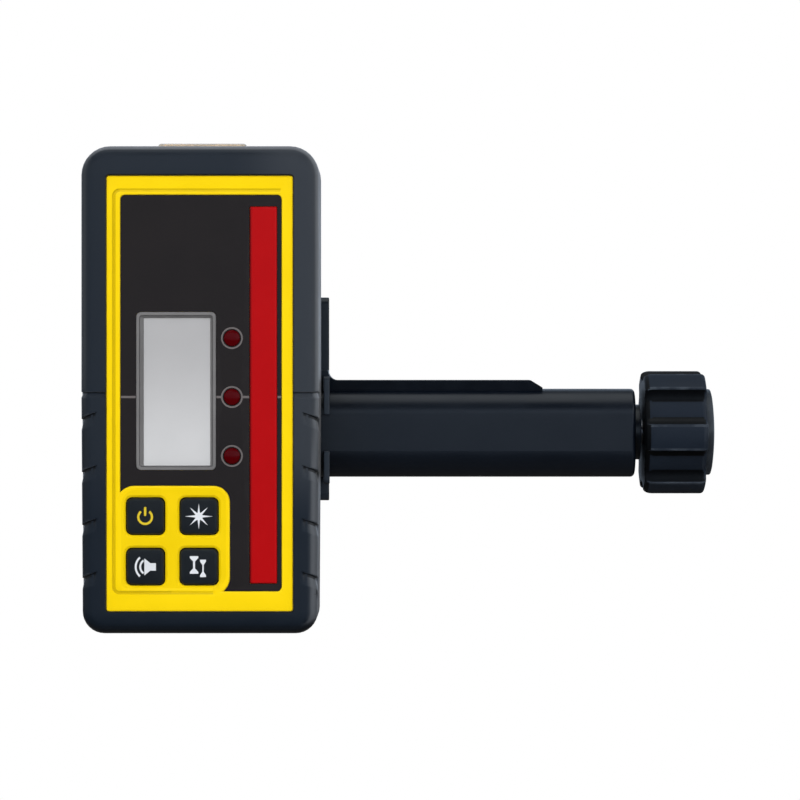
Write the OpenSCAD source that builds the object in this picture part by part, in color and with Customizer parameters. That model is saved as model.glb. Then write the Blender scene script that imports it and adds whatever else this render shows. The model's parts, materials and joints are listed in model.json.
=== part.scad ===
// Laser receiver on a screw clamp that grips a grade rod, in millimetres.
// X runs across the receiver, Y from its front to its back and Z upward. The origin lies on the on-grade line,
// halfway across the receiver, on the flat face of the beam that a clamped rod rests against.

/* [Receiver body] */
// Overall width over the rubber
body_w = 73.2; // [70:0.2:86]
// Overall height over the rubber
body_h = 150; // [146:1:170]
// Depth from the rubber's front to the back face
body_d = 30; // [29:0.5:36]
// Corner radius of the rubber
body_corner_r = 9; // [6:0.5:12]
// Narrowing of each side from mid height to the bottom
body_taper = 0.8; // [0:0.1:1.2]
// On-grade line below mid height
grade_below_mid = 2.25; // [0:0.25:4]
// Rounding of the rubber's front and back edges
edge_round = 2.2; // [1:0.1:3]

/* [Rubber jacket] */
// Side wall of the rubber
jacket_wall = 2.5; // [2:0.1:3.5]
// Thickness of the front and back lips
lip_t = 1.8; // [1.4:0.1:2.4]
// Front lip width at the sides
lip_side = 7.95; // [7.5:0.05:9]
// Front lip width at the top
lip_top = 9.25; // [8:0.05:11]
// Front lip width at the bottom
lip_bottom = 6.95; // [6:0.05:9]
// Back lip width at the sides
back_lip_side = 6.4; // [5:0.1:7]
// Back lip width at the top
back_lip_top = 8.3; // [6:0.1:9]
// Back lip width at the bottom
back_lip_bottom = 4.2; // [3.6:0.1:4.4]
// Grip notches on each side
grip_count = 4; // [2:1:4]
// Spacing of the grip notches
grip_pitch = 16.3; // [12:0.1:17]
// First grip notch below the on-grade line
grip_first = 5.9; // [5:0.1:8]
// Height of a grip notch
grip_h = 3; // [2:0.1:4]
// Depth of a grip notch, square to the rounded edge
grip_deep = 1; // [0.6:0.1:1.4]
// Height of the on-grade notch
grade_notch_h = 1.9; // [1:0.1:2.5]
// Depth of the on-grade notch
grade_notch_deep = 0.7; // [0.3:0.1:1]

/* [Cases] */
// Yellow face below the rubber's front
face_sink = 0.8; // [0.4:0.1:1.2]
// Front wall of the front case
front_wall = 2.2; // [2:0.1:2.8]
// Back wall of the rear case
rear_wall = 2.2; // [2:0.1:2.8]
// Side walls of both cases
case_wall = 2; // [1.6:0.1:2.6]
// Split between the cases, from the rubber's front
split_depth = 18; // [17:0.5:20]
// Seal between the cases
seal_t = 0.6; // [0.4:0.1:1]
// Shank radius of a case screw
case_screw_r = 1.5; // [1.2:0.1:1.7]
// Head radius of a case screw
case_screw_head_r = 2.6; // [2.2:0.1:3]
// Head thickness of a case screw
case_screw_head_t = 1.3; // [1:0.1:1.5]

/* [Face] */
// Yellow border left of the panel
panel_left = 4.25; // [3.5:0.05:5]
// Yellow border right of the panel
panel_right = 3.45; // [3:0.05:4.5]
// Yellow border above the panel
panel_top = 5.9; // [4:0.1:8]
// Yellow border below the panel
panel_bottom = 6.1; // [4:0.1:7]
// Panel thickness
panel_t = 0.6; // [0.4:0.1:0.8]
// Panel below the yellow face
panel_sink = 0.2; // [0.1:0.05:0.4]
// Corner radius of the panel
panel_r = 1.5; // [0.5:0.1:2.5]
// Width of the sensor window
window_w = 8.5; // [6:0.1:10]
// Sensor window to the panel's right edge
window_right = 1.4; // [1:0.1:2]
// Sensor window to the panel's top edge
window_top = 3.6; // [2:0.1:6]
// Sensor window to the panel's bottom edge
window_bottom = 2.4; // [2:0.1:6]
// Window thickness
window_t = 1.2; // [1:0.1:1.4]
// Display bezel to the panel's left edge
bezel_left = 4.9; // [3:0.1:5.5]
// Width of the display bezel
bezel_w = 24.5; // [18:0.1:25]
// Top of the bezel above the on-grade line
bezel_up = 26.1; // [20:0.1:32]
// Bottom of the bezel below the on-grade line
bezel_down = 22.45; // [18:0.05:24]
// Left rim of the bezel
bezel_rim_left = 2.5; // [1.6:0.1:3]
// Other rims of the bezel
bezel_rim = 1.8; // [1.4:0.1:2.4]
// Radius of an indicator lamp
lamp_r = 2.5; // [1.5:0.1:2.6]
// Indicator lamps to the left of the sensor window
lamp_from_window = 5.4; // [4:0.1:5.8]
// Spacing of the indicator lamps
lamp_pitch = 18.1; // [10:0.1:22]

/* [Keypad] */
// Width of the keypad land, from the panel's left edge
land_w = 33.65; // [32:0.05:35]
// Top of the keypad land below the on-grade line
land_down = 27.3; // [26:0.1:28.5]
// Corner radius of the keypad land
land_r = 5; // [2:0.1:6]
// Width of a button opening
key_w = 11.7; // [10:0.1:12]
// Height of a button opening
key_h = 11.2; // [10:0.1:12]
// Corner radius of a button
key_r = 1.5; // [0.8:0.1:3]
// Button opening to the panel's left edge
key_left = 1.9; // [1.6:0.1:2.5]
// Button opening to the top of the land
key_top = 3.7; // [3:0.1:4.5]
// Spacing of the buttons across
key_pitch_x = 16.45; // [15:0.05:17]
// Spacing of the buttons in height
key_pitch_z = 15.5; // [14.6:0.1:16]
// Button above the yellow face
key_proud = 0.8; // [0.4:0.1:1.5]
// Press of a button
key_travel = 0.8; // [0.4:0.1:1]
// Gap round a button
key_gap = 0.3; // [0.2:0.05:0.4]

/* [Inside] */
// Front of the circuit board, from the rubber's front
board_depth = 8; // [7.8:0.1:9]
// Board thickness
board_t = 1.6; // [1:0.1:2]
// Board to the case's side walls
board_side = 2.4; // [1.5:0.1:3]
// Cell radius
cell_r = 7.1; // [5.2:0.1:7.1]
// Cell length
cell_len = 50; // [44:0.5:51]
// Room round a cell
cell_gap = 0.4; // [0.3:0.1:0.5]
// Room for a contact at each end of the cells
contact_room = 1.8; // [1.4:0.1:2.2]
// Thickness of a contact plate
contact_t = 0.5; // [0.3:0.1:0.6]
// Radius of the beeper
beeper_r = 8.5; // [5:0.5:9]
// Height of the beeper
beeper_t = 6; // [3:0.5:8]
// Thickness of the battery door
door_t = 2; // [1.6:0.1:2]
// Radius of the door's hinge barrel
barrel_r = 1.5; // [1.3:0.1:1.6]
// Radius of the hinge pin
pin_r = 0.75; // [0.5:0.05:0.8]
// Length of the vial tube
vial_len = 27.6; // [20:0.2:34]
// Radius of the vial tube
vial_r = 6; // [5:0.1:7]
// Vial tube above the rubber
vial_proud = 1.7; // [0.8:0.1:2.5]

/* [Clamp beam] */
// Depth of the beam, front to rod seat
beam_d = 25; // [24:0.5:30]
// Height of the beam
beam_h = 27.8; // [26:0.1:32]
// Middle of the beam below the on-grade line
beam_down = 11.2; // [10:0.1:12]
// Right end of the beam
beam_end = 136.5; // [130:0.1:160]
// Radius of the beam's front corners
beam_front_r = 8; // [5:0.1:9]
// Radius of the beam's back corners
beam_back_r = 3; // [1:0.1:4]
// Bore radius of the beam
bore_r = 8.5; // [8:0.1:9]
// Slot width in the beam's top
slot_w = 4.6; // [4:0.1:6]
// Thickness of the mount plate
mount_t = 3; // [2.5:0.1:5]
// Half width of the mount plate
mount_half_w = 20; // [18:0.5:24]
// Top of the mount plate above the on-grade line
mount_up = 29; // [27:0.5:34]
// Bottom of the mount plate below the on-grade line
mount_down = 24; // [20:0.5:26]

/* [Jaws] */
// Face of the fixed jaw's pad, left of the middle
grip_face = 28; // [26:0.5:32]
// Opening between the pads
grip_open = 60; // [56:0.5:64]
// Closing travel of the jaw
jaw_close = 42; // [20:1:42]
// Opening travel of the jaw
jaw_widen = 15; // [5:1:20]
// Thickness of the sliding jaw's plate
jaw_t = 3.6; // [3:0.1:4.5]
// Thickness of the fixed jaw
fixed_jaw_t = 4; // [3:0.1:5]
// Half height of the jaws
jaw_half_h = 32.5; // [30:0.5:34]
// Reach of the jaws behind the rod seat
jaw_reach = 30; // [24:0.5:40]
// Corner radius of the jaws
jaw_r = 6; // [2:0.5:8]
// Thickness of the rubber pads
pad_t = 2.5; // [1.5:0.1:3]
// Wall of the collar round the beam
collar_wall = 3; // [2.4:0.1:3.4]
// Length of the collar along the beam
collar_len = 4.8; // [4.5:0.1:7]
// End of the guide tongue, right of the collar's start
tongue_len = 72.5; // [60:0.5:80]
// Slant at the end of the tongue
tongue_slant = 4; // [2:0.1:6]
// Top of the tongue above the beam
tongue_h = 2.8; // [2.5:0.05:3.4]
// Depth of the tongue
tongue_d = 10.5; // [9:0.1:12]

/* [Screws] */
// Radius of the lead screw
lead_r = 4; // [3:0.1:4.5]
// Length of the jaw nut
nut_len = 14; // [10:0.5:16]
// Radius of the knob over its lobes
knob_r = 20.2; // [17:0.05:24]
// Length of the knob
knob_len = 20.1; // [18:0.1:26]
// Lobes of the knob
knob_lobes = 6; // [5:1:8]
// Radius of a flute in the knob
flute_r = 5.8; // [4.5:0.1:6.5]
// Depth of a flute
flute_deep = 3.2; // [2:0.1:4]
// Chamfer on the knob's edges
knob_chamfer = 1.4; // [1:0.1:3]
// Radius of the knob's cap
cap_r = 13.8; // [10:0.1:15]
// Height of the cap's rim
cap_rim = 2.8; // [1:0.1:4]
// Height of the cap's dome
cap_h = 1.3; // [0.8:0.1:3]
// Radius of the bush flange
flange_r = 8.85; // [8.6:0.05:11]
// Radius of the thumb screw's thread
thumb_r = 3.175; // [2.5:0.005:3.2]
// Radius of the thumb screw's head
thumb_head_r = 8.5; // [7:0.1:8.6]
// Length of the thumb screw's head
thumb_head_len = 12.4; // [8:0.1:12.5]
// Thumb screw above the on-grade line
thumb_up = 18; // [17.8:0.1:19]
// Grooves in the thumb screw's head
thumb_grooves = 20; // [8:1:24]

/* [Hidden] */
$fn = 48;
// Segments of the rubber's rounded corners
soft_fn = 32;
// Steps of the rubber's edge rounding, in degrees
edge_steps = [0, 30, 60, 90];
// Overrun of cuts
over = 1;
// Clearance between pieces that are fixed together
fit = 0.1;
// Clearance of a turning or sliding fit
run = 0.05;
// Clearance between pieces that move past each other
slide = 0.3;

// Shares of the body's width and height that one millimetre of the face, the grips and the cells stands for
layout_shares = [1 / 73.2, 1 / 150];
wide = body_w * layout_shares[0];
tall = body_h * layout_shares[1];

// Places of the body
y_back = -beam_d - mount_t;
y_front = y_back - body_d;
body_top = body_h / 2 + grade_below_mid;
body_bottom = body_top - body_h;
body_x = body_w / 2;

// Places of the cases
y_face = y_front + face_sink;
y_inner = y_face + front_wall;
y_split = y_front + split_depth;
y_rear_inner = y_back - rear_wall;
case_x = body_x - jacket_wall - fit;
case_top = body_top - jacket_wall - fit;
case_bottom = body_bottom + jacket_wall + fit;
case_r = body_corner_r - jacket_wall - fit;
inner_r = max(case_r - case_wall, case_wall / 2);
face_x = body_x - lip_side * wide;
face_top = body_top - lip_top;
face_bottom = body_bottom + lip_bottom;
back_top = body_top - back_lip_top;
back_bottom = body_bottom + back_lip_bottom;
back_r = back_lip_bottom;

// Places on the face
y_panel = y_face + panel_sink;
y_panel_back = y_panel + panel_t;
y_seat = y_panel + window_t;
panel_x0 = -face_x + panel_left * wide;
panel_x1 = face_x - panel_right * wide;
panel_z0 = face_bottom + panel_bottom;
panel_z1 = face_top - panel_top;
seat_w = 0.7;
window_x1 = panel_x1 - window_right * wide;
window_x0 = window_x1 - window_w * wide;
window_z0 = panel_z0 + window_bottom;
window_z1 = panel_z1 - window_top;
bezel_x0 = panel_x0 + bezel_left * wide;
bezel_x1 = bezel_x0 + bezel_w * wide;
bezel_z0 = -bezel_down * tall;
bezel_z1 = bezel_up * tall;
bezel_proud = 0.1;
lamp_x = window_x0 - lamp_from_window * wide;
lamp_step = lamp_pitch * tall;
lamp_flange_w = 0.4;
lamp_flange_r = lamp_r + lamp_flange_w;
lamp_flange_t = 1;
land_x1 = panel_x0 + land_w * wide;
land_z1 = -land_down * tall;
key_x = key_w * wide;
key_z = key_h * tall;
key_step_x = key_pitch_x * wide;
key_step_z = key_pitch_z * tall;
key_x0 = panel_x0 + key_left * wide + key_x / 2;
key_z0 = land_z1 - key_top * tall - key_z / 2;

// Places inside
y_board = y_front + board_depth;
y_board_back = y_board + board_t;
board_x = case_x - case_wall - board_side;
board_z0 = panel_z0;
board_z1 = panel_z1;
lcd_glass_t = 1.1;
switch_size = 6;
switch_body_h = 1.8;
switch_h = 2.35;
switch_tip_r = 1.7;
key_flange = 0.7;
key_flange_t = 1;
key_stem_r = 1.5;
y_key_flange = y_inner + fit;
y_key_stem = y_board - switch_h - key_travel - run;
diode_count = 9;
diode_w = 5;
diode_h = 9;
diode_t = 1.5;
post_r = 2.6;
post_edge = 0.5;
post_in = post_r + post_edge;
post_x = board_x - post_in;
post_z = [board_z0 + post_in, board_z1 - post_in];
board_screw_r = 1;
board_screw_head_r = 1.9;
board_screw_head_t = 1;
beeper_x = (board_x + beeper_r) / 2 - post_in;
beeper_z = board_z1 - beeper_r - lamp_step / 2;
sound_hole_r = 0.8;
sound_holes = 6;
sound_ring_r = 4;

// Places of the battery bay and its door
bay_wall = 1.2;
bay_sill = 3.2;
cell_l = cell_len * wide;
bay_x = cell_l / 2 + contact_room;
tub_x = min(bay_x + bay_wall, case_x - case_wall - fit);
bay_z0 = case_bottom + bay_sill;
bay_z1 = bay_z0 + 4 * cell_r + 3 * cell_gap;
cell_y = y_rear_inner - slide - cell_r;
y_bay_floor = cell_y - cell_r - cell_gap / 2;
cell_z = [bay_z0 + cell_gap + cell_r, bay_z1 - cell_gap - cell_r];
nub_r = 2.7;
nub_len = 1;
contact_w = 10;
spring_r = 3.6;
spring_tip_r = 2.4;
hinge_y = y_back - barrel_r;
hinge_z = bay_z1 - slide;
door_x = bay_x + bay_wall;
door_edge = 0.6;
back_x = max(body_x - back_lip_side, door_x + slide + door_edge);
door_lap = 0.5;
door_z0 = bay_z0 - door_lap;
y_door = y_rear_inner;
ear_w = 4;
barrel_x = door_x - ear_w - 2 * slide;
recess_z1 = hinge_z + barrel_r + slide;
ear_drop = barrel_r + 2 * slide;
tongue_latch_w = 10;
tongue_latch_t = 1;
tongue_latch_len = 2.4;
pull_w = 16;
pull_t = 0.8;
pull_h = 1.4;

// Places of the case screws
screw_boss_r = 3.2;
screw_x = back_x - screw_boss_r - fit;
screw_z = [recess_z1 + screw_boss_r + fit, back_top - screw_boss_r - fit];
screw_tip = y_board;

// Places of the level vial
vial_z = body_top + vial_proud - vial_r;
vial_y = (y_front + y_back) / 2;
vial_wall = 1.5;
vial_end = 2;
cradle_wall = 1.2;
cradle_x = vial_len / 2 + cradle_wall;
cradle_d = vial_r + cradle_wall;
bubble_share = 0.6;

// Places of the clamp
beam_y = -beam_d / 2;
beam_z = -beam_down;
beam_top = beam_z + beam_h / 2;
beam_bottom = beam_z - beam_h / 2;
fixed_x1 = -grip_face - pad_t;
fixed_x0 = fixed_x1 - fixed_jaw_t;
beam_start = fixed_x1;
jaw_x0 = grip_open - grip_face + pad_t;
jaw_x1 = jaw_x0 + jaw_t;
jaw_front = 3;
collar_x1 = jaw_x0 + collar_len;
hook_t = 1.2;
hook_room = hook_t + slide + fit;
flat_half = beam_h / 2 - beam_front_r;
seat_half = flat_half - 2 * slide;
thumb_seat = 8.5;
tongue_gap = 0.15;
knob_phase = 5.3;
tongue_top = beam_top + tongue_h;
tongue_y0 = beam_y - tongue_d / 2;
tongue_y1 = beam_y + tongue_d / 2;
tongue_fillet = 2.6;
nut_gap = 2;
nut_x0 = collar_x1 + nut_gap;
nut_r = bore_r - slide;
nut_neck_w = slot_w - 2 * slide;
nut_neck_in = 1.5;
slot_x0 = nut_x0 - jaw_close - over;
slot_x1 = nut_x0 + nut_len + jaw_widen + over;
tail_len = 8;
bore_x0 = slot_x0 - 2 * over;
bush_len = 12.3;
bush_x0 = beam_end - bush_len;
flange_t = 2;
thrust_r = 7.5;
thrust_t = 2.8;
knob_x0 = beam_end + flange_t + slide;
knob_x1 = knob_x0 + knob_len;
lead_cover = 3;
lead_end = knob_x1 - lead_cover;
cross_pin_r = 1.25;
cross_pin_len = 22;
cross_pin_in = 6;
cross_pin_x = knob_x0 + cross_pin_in;
cap_plug_t = 1.6;
pad_inset = 1.5;
jaw_screw_r = 2;
jaw_screw_head_r = 3.6;
jaw_screw_head_t = 1.8;
jaw_screw_len = 9;
jaw_screw_in = 4.5;
jaw_screw_z = beam_h / 2 - jaw_screw_in;
jaw_screw_y = [-beam_back_r - jaw_screw_r, -beam_d + beam_front_r];
mount_r = 4;
mount_screw_r = 1.5;
mount_screw_head_r = 2.8;
mount_screw_head_t = 1.3;
mount_screw_len = 6;
mount_screw_shares = [-0.8, -0.3, 0.3, 0.8];
mount_screw_x = mount_screw_shares * mount_half_w;
locate_x = 13;
locate_r = 2;
locate_in = 1.6;
insert_r = 5;
insert_len = 9;
insert_boss_r = 7.5;
washer_r = 6.5;
washer_t = 0.8;
thumb_short = 1;
thumb_in = insert_len - thumb_short;
thumb_groove_r = 0.8;
y_thumb = -beam_d + washer_t + slide;

// A rectangle with rounded corners, from its two corner points
module round_rect(u0, u1, v0, v1, r) {
    translate([u0 + r, v0]) square([u1 - u0 - 2 * r, v1 - v0]);
    translate([u0, v0 + r]) square([u1 - u0, v1 - v0 - 2 * r]);
    for (u = [u0 + r, u1 - r], v = [v0 + r, v1 - r]) translate([u, v]) circle(r = r);
}

// A plain rectangle from its two corner points
module rect(u0, u1, v0, v1) translate([u0, v0]) square([u1 - u0, v1 - v0]);

// An outline in X and Z, drawn out from y0 to y1
module prism_y(y0, y1) translate([0, y1, 0]) rotate([90, 0, 0]) linear_extrude(y1 - y0) children();

// An outline in Y and Z, drawn out from x0 to x1
module prism_x(x0, x1) translate([x0, 0, 0]) rotate([90, 0, 90]) linear_extrude(x1 - x0) children();

// A round bar along Y
module rod_y(x, z, y0, y1, r) translate([x, y0, z]) rotate([-90, 0, 0]) cylinder(h = y1 - y0, r = r);

// A round bar along X
module rod_x(y, z, x0, x1, r) translate([x0, y, z]) rotate([0, 90, 0]) cylinder(h = x1 - x0, r = r);

// A screw along Y with a flat head, its head's outer face at y_head and its tip in front of that
module screw_y(x, z, y_head, y_tip, r, head_r, head_t) {
    rod_y(x, z, y_head - head_t, y_head, head_r);
    rod_y(x, z, y_tip, y_head - head_t, r);
}

// The four places of the case screws
module at_case_screws() for (x = [-screw_x, screw_x], z = screw_z) translate([x, 0, z]) children();

// The four places of the board's posts
module at_posts() for (x = [-post_x, post_x], z = post_z) translate([x, 0, z]) children();

// Outline of the case, inset by a wall
module case_outline(inset, r) round_rect(-case_x + inset, case_x - inset, case_bottom + inset, case_top - inset, r);

// Outline of the keypad land, its left and bottom edges running into the yellow face
module land_outline() {
    round_rect(panel_x0 - land_r, land_x1, panel_z0, land_z1, land_r);
    rect(panel_x0 - land_r, panel_x0 + land_r, panel_z0 - land_r, land_z1);
}

// Outline of the panel, without the keypad land
module panel_outline(gap) difference() {
    round_rect(panel_x0 + gap, panel_x1 - gap, panel_z0 + gap, panel_z1 - gap, panel_r);
    land_outline();
    rect(panel_x0 - over, land_x1 - land_r, panel_z0 - over, panel_z0 + land_r);
}

// Outline of the sensor window, grown by a gap
module window_outline(gap) rect(window_x0 - gap, window_x1 + gap, window_z0 - gap, window_z1 + gap);

// Outline of the display bezel, grown by a gap
module bezel_outline(gap)
    round_rect(bezel_x0 - gap, bezel_x1 + gap, bezel_z0 - gap, bezel_z1 + gap, panel_r);

// Outline of the visible display
module display_outline()
    rect(bezel_x0 + bezel_rim_left, bezel_x1 - bezel_rim, bezel_z0 + bezel_rim, bezel_z1 - bezel_rim);

// The three places of the lamps
module at_lamps() for (k = [-1, 0, 1]) translate([lamp_x, 0, k * lamp_step]) children();

// Outline of a button or of its opening, at its column and row
module key_outline(col, row, inset) translate([key_x0 + col * key_step_x, key_z0 - row * key_step_z])
    round_rect(-key_x / 2 + inset, key_x / 2 - inset, -key_z / 2 + inset, key_z / 2 - inset, key_r);

// One wedge-shaped grip notch across the rounded front edge of a side
module grip_notch(side, z) translate([side * body_x, y_front, z]) rotate([0, side * 20, side * -30])
    translate([-side * (edge_round - grip_deep) - (side > 0 ? 0 : 2 * edge_round), -edge_round * 3, -grip_h])
    cube([2 * edge_round, edge_round * 6, grip_h]);

module rubber_jacket() color([0.16, 0.19, 0.23]) difference() {
    hull() for (a = edge_steps, s = [-1, 1], k = [0, 1, 2]) {
        set_in = edge_round * (1 - cos(a));
        x = s * (body_x - body_corner_r - (k == 0 ? body_taper : 0));
        z = k == 0 ? body_bottom + body_corner_r : k == 1 ? 0 : body_top - body_corner_r;
        rod_y(x, z, y_front + set_in, y_back - set_in, body_corner_r - edge_round * (1 - sin(a)), $fn = soft_fn);
    }
    prism_y(y_front + lip_t, y_back - lip_t) case_outline(-fit, case_r + fit);
    prism_y(y_front - over, y_front + lip_t + over) rect(-face_x, face_x, face_bottom, face_top);
    prism_y(y_back - lip_t - over, y_back + over) round_rect(-back_x, back_x, back_bottom, back_top, back_r);
    translate([-vial_len / 2 - cradle_wall - fit, vial_y - cradle_d - fit, case_top - over])
        cube([vial_len + 2 * cradle_wall + 2 * fit, 2 * (cradle_d + fit), body_top - case_top + 2 * over]);
    for (s = [-1, 1]) {
        for (k = [0:grip_count - 1]) grip_notch(s, -grip_first - k * grip_pitch * tall);
        translate([s * body_x, 0, 0]) prism_y(y_front - over, y_back + over)
            polygon([[-s * grade_notch_deep, grade_notch_h / 2], [s * over, grade_notch_h + over],
                [s * over, -grade_notch_h / 2 - over / 2]]);
        prism_x(min(s * face_x, s * (body_x + over)), max(s * face_x, s * (body_x + over)))
            polygon([[y_front - over, -grade_notch_h / 2 - over / 2], [y_front + grade_notch_deep, grade_notch_h / 2],
                [y_front - over, grade_notch_h + over]]);
    }
}

module front_case() color([0.98, 0.82, 0.06]) difference() {
    union() {
        difference() {
            union() {
                prism_y(y_front + lip_t + fit, y_split - seal_t / 2) case_outline(0, case_r);
                prism_y(y_face, y_front + lip_t + over)
                    rect(-face_x + fit, face_x - fit, face_bottom + fit, face_top - fit);
            }
            prism_y(y_inner, y_split) case_outline(case_wall, inner_r);
        }
        at_case_screws() rod_y(0, 0, y_inner - run, y_split - seal_t / 2, screw_boss_r);
        at_posts() rod_y(0, 0, y_inner - run, y_board, post_r);
    }
    prism_y(y_face - over, y_panel_back) panel_outline(0);
    prism_y(y_face - over, y_seat) { window_outline(fit); bezel_outline(fit); }
    prism_y(y_face - over, y_inner + over) { window_outline(-seat_w); bezel_outline(-seat_w); }
    at_lamps() rod_y(0, 0, y_face - over, y_inner + over, lamp_r + fit);
    for (col = [0, 1], row = [0, 1]) prism_y(y_face - over, y_inner + over) key_outline(col, row, 0);
    at_case_screws() rod_y(0, 0, screw_tip - fit, y_split, case_screw_r + run);
    at_posts() rod_y(0, 0, y_inner + fit, y_board + over, board_screw_r + run);
    vial_pocket();
}

// Room for the vial cradle in the tops of both cases
module vial_pocket() translate([-cradle_x - fit, vial_y - cradle_d - fit, vial_z - cradle_d])
    cube([2 * (cradle_x + fit), 2 * (cradle_d + fit), body_top - vial_z + cradle_d + over]);

module rear_case() color([0.13, 0.14, 0.16]) difference() {
    union() {
        difference() {
            union() {
                prism_y(y_split + seal_t / 2, y_back - lip_t - fit) case_outline(0, case_r);
                prism_y(y_back - lip_t - over, y_back)
                    round_rect(-back_x + fit, back_x - fit, back_bottom + fit, back_top - fit, back_r - fit);
            }
            prism_y(y_split - over, y_rear_inner) case_outline(case_wall, inner_r);
        }
        at_case_screws() rod_y(0, 0, y_split + seal_t / 2, y_rear_inner + run, screw_boss_r);
        rod_y(0, thumb_up, y_back - insert_len - bay_wall, y_rear_inner + run, insert_boss_r);
        prism_y(y_bay_floor - bay_wall, y_rear_inner + run)
            rect(-tub_x, tub_x, max(bay_z0 - bay_wall, case_bottom + case_wall) + fit, bay_z1 + bay_wall);
        prism_y(y_split + seal_t / 2, y_rear_inner + run)
            rect(-bay_x - bay_wall, bay_x + bay_wall, case_bottom + case_wall / 2, bay_z0);
    }
    prism_y(y_bay_floor, y_back + over) rect(-bay_x, bay_x, bay_z0, bay_z1);
    difference() {
        union() {
            prism_y(y_rear_inner, y_back + over) rect(-door_x - slide, door_x + slide, door_z0 - slide, recess_z1);
            rod_x(hinge_y, hinge_z, -door_x - slide, door_x + slide, barrel_r + slide);
        }
        for (s = [-1, 1]) translate([s * (door_x - ear_w / 2 + slide), 0, 0]) {
            rod_x(hinge_y, hinge_z, -ear_w / 2, ear_w / 2, barrel_r);
            prism_x(-ear_w / 2, ear_w / 2) rect(hinge_y - barrel_r, y_back, hinge_z, recess_z1 + over);
        }
    }
    rod_x(hinge_y, hinge_z, -door_x - slide, door_x + slide, pin_r + run);
    at_case_screws() {
        rod_y(0, 0, y_split, y_back, case_screw_r + run);
        rod_y(0, 0, y_back - case_screw_head_t - 2 * slide, y_back + over, case_screw_head_r + slide);
    }
    rod_y(0, thumb_up, y_back - insert_len, y_back + over, insert_r + run);
    for (s = [-1, 1]) rod_y(s * locate_x, thumb_up, y_back - locate_in - fit, y_back + over, locate_r + run);
    for (k = [0:sound_holes - 1]) rod_y(beeper_x + sound_ring_r * cos(360 * k / sound_holes),
        beeper_z + sound_ring_r * sin(360 * k / sound_holes), y_rear_inner - over, y_back + over, sound_hole_r);
    rod_y(beeper_x, beeper_z, y_rear_inner - over, y_back + over, sound_hole_r);
    vial_pocket();
}

module case_seal() color([0.2, 0.2, 0.2]) difference() {
    prism_y(y_split - seal_t / 2, y_split + seal_t / 2) difference() {
        case_outline(0, case_r);
        case_outline(case_wall, inner_r);
    }
    vial_pocket();
}

module case_screws() color("silver") at_case_screws()
    screw_y(0, 0, y_back - 2 * slide, screw_tip, case_screw_r, case_screw_head_r, case_screw_head_t);

module face_panel() color([0.14, 0.14, 0.14]) difference() {
    prism_y(y_panel, y_panel_back) panel_outline(fit);
    prism_y(y_panel - over, y_panel_back + over) { window_outline(fit); bezel_outline(fit); }
    at_lamps() rod_y(0, 0, y_panel - over, y_panel_back + over, lamp_r + fit);
}

module sensor_window() color([0.67, 0.06, 0.08]) prism_y(y_panel, y_seat) window_outline(0);

module lcd_bezel() color([0.46, 0.46, 0.46]) prism_y(y_panel - bezel_proud, y_seat) difference() {
    bezel_outline(0);
    display_outline();
}

module lcd_glass() color([0.75, 0.77, 0.76]) prism_y(y_seat, y_seat + lcd_glass_t) bezel_outline(-seat_w - fit);

module lcd_module() color([0.9, 0.9, 0.88]) prism_y(y_seat + lcd_glass_t, y_board) bezel_outline(-seat_w - fit);

module indicator_lamps() color([0.35, 0.02, 0.03]) at_lamps() {
    rod_y(0, 0, y_panel - bezel_proud, y_board, lamp_r);
    rod_y(0, 0, y_board - lamp_flange_t, y_board, lamp_flange_r);
}

module main_board() color([0.05, 0.35, 0.15]) difference() {
    prism_y(y_board, y_board_back) rect(-board_x, board_x, board_z0, board_z1);
    at_posts() rod_y(0, 0, y_board - over, y_board_back + over, board_screw_r + run);
    at_case_screws() rod_y(0, 0, y_board - over, y_board_back + over, screw_boss_r + slide);
}

module board_screws() color("silver") at_posts() screw_y(0, 0, y_board_back + board_screw_head_t, y_inner + slide,
    board_screw_r, board_screw_head_r, board_screw_head_t);

module tact_switches() color([0.2, 0.2, 0.22]) for (col = [0, 1], row = [0, 1])
    translate([key_x0 + col * key_step_x, 0, key_z0 - row * key_step_z]) {
        prism_y(y_board - switch_body_h, y_board)
            rect(-switch_size / 2, switch_size / 2, -switch_size / 2, switch_size / 2);
        rod_y(0, 0, y_board - switch_h, y_board - switch_body_h, switch_tip_r);
    }

module photodiodes() color([0.1, 0.1, 0.2]) for (k = [0:diode_count - 1])
    translate([(window_x0 + window_x1) / 2, 0, window_z0 + (k + 1 / 2) * (window_z1 - window_z0) / diode_count])
    prism_y(y_board - diode_t, y_board) rect(-diode_w / 2, diode_w / 2, -diode_h / 2, diode_h / 2);

module beeper() color([0.1, 0.1, 0.1]) rod_y(beeper_x, beeper_z, y_board_back, y_board_back + beeper_t, beeper_r);

module battery_cells() color([0.72, 0.55, 0.2]) for (k = [0, 1]) mirror([k, 0, 0]) {
    rod_x(cell_y, cell_z[k], -cell_l / 2, cell_l / 2 - nub_len, cell_r);
    rod_x(cell_y, cell_z[k], cell_l / 2 - nub_len, cell_l / 2, nub_r);
}

module battery_contacts() color("silver") for (k = [0, 1], s = [-1, 1]) translate([s * (bay_x - contact_t / 2), 0, 0])
    prism_x(-contact_t / 2, contact_t / 2)
    rect(cell_y - contact_w / 2, cell_y + contact_w / 2, cell_z[k] - contact_w / 2, cell_z[k] + contact_w / 2);

module contact_springs() color("silver") for (k = [0, 1]) mirror([k, 0, 0])
    translate([-bay_x + contact_t, cell_y, cell_z[k]]) rotate([0, 90, 0])
    cylinder(h = contact_room - contact_t, r1 = spring_r, r2 = spring_tip_r);

module hinge_pin() color("silver") rod_x(hinge_y, hinge_z, -door_x, door_x, pin_r);

module back_insert() color([0.8, 0.65, 0.25]) difference() {
    rod_y(0, thumb_up, y_back - insert_len, y_back, insert_r);
    rod_y(0, thumb_up, y_back - insert_len - over, y_back + over, thumb_r + run);
}

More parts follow.
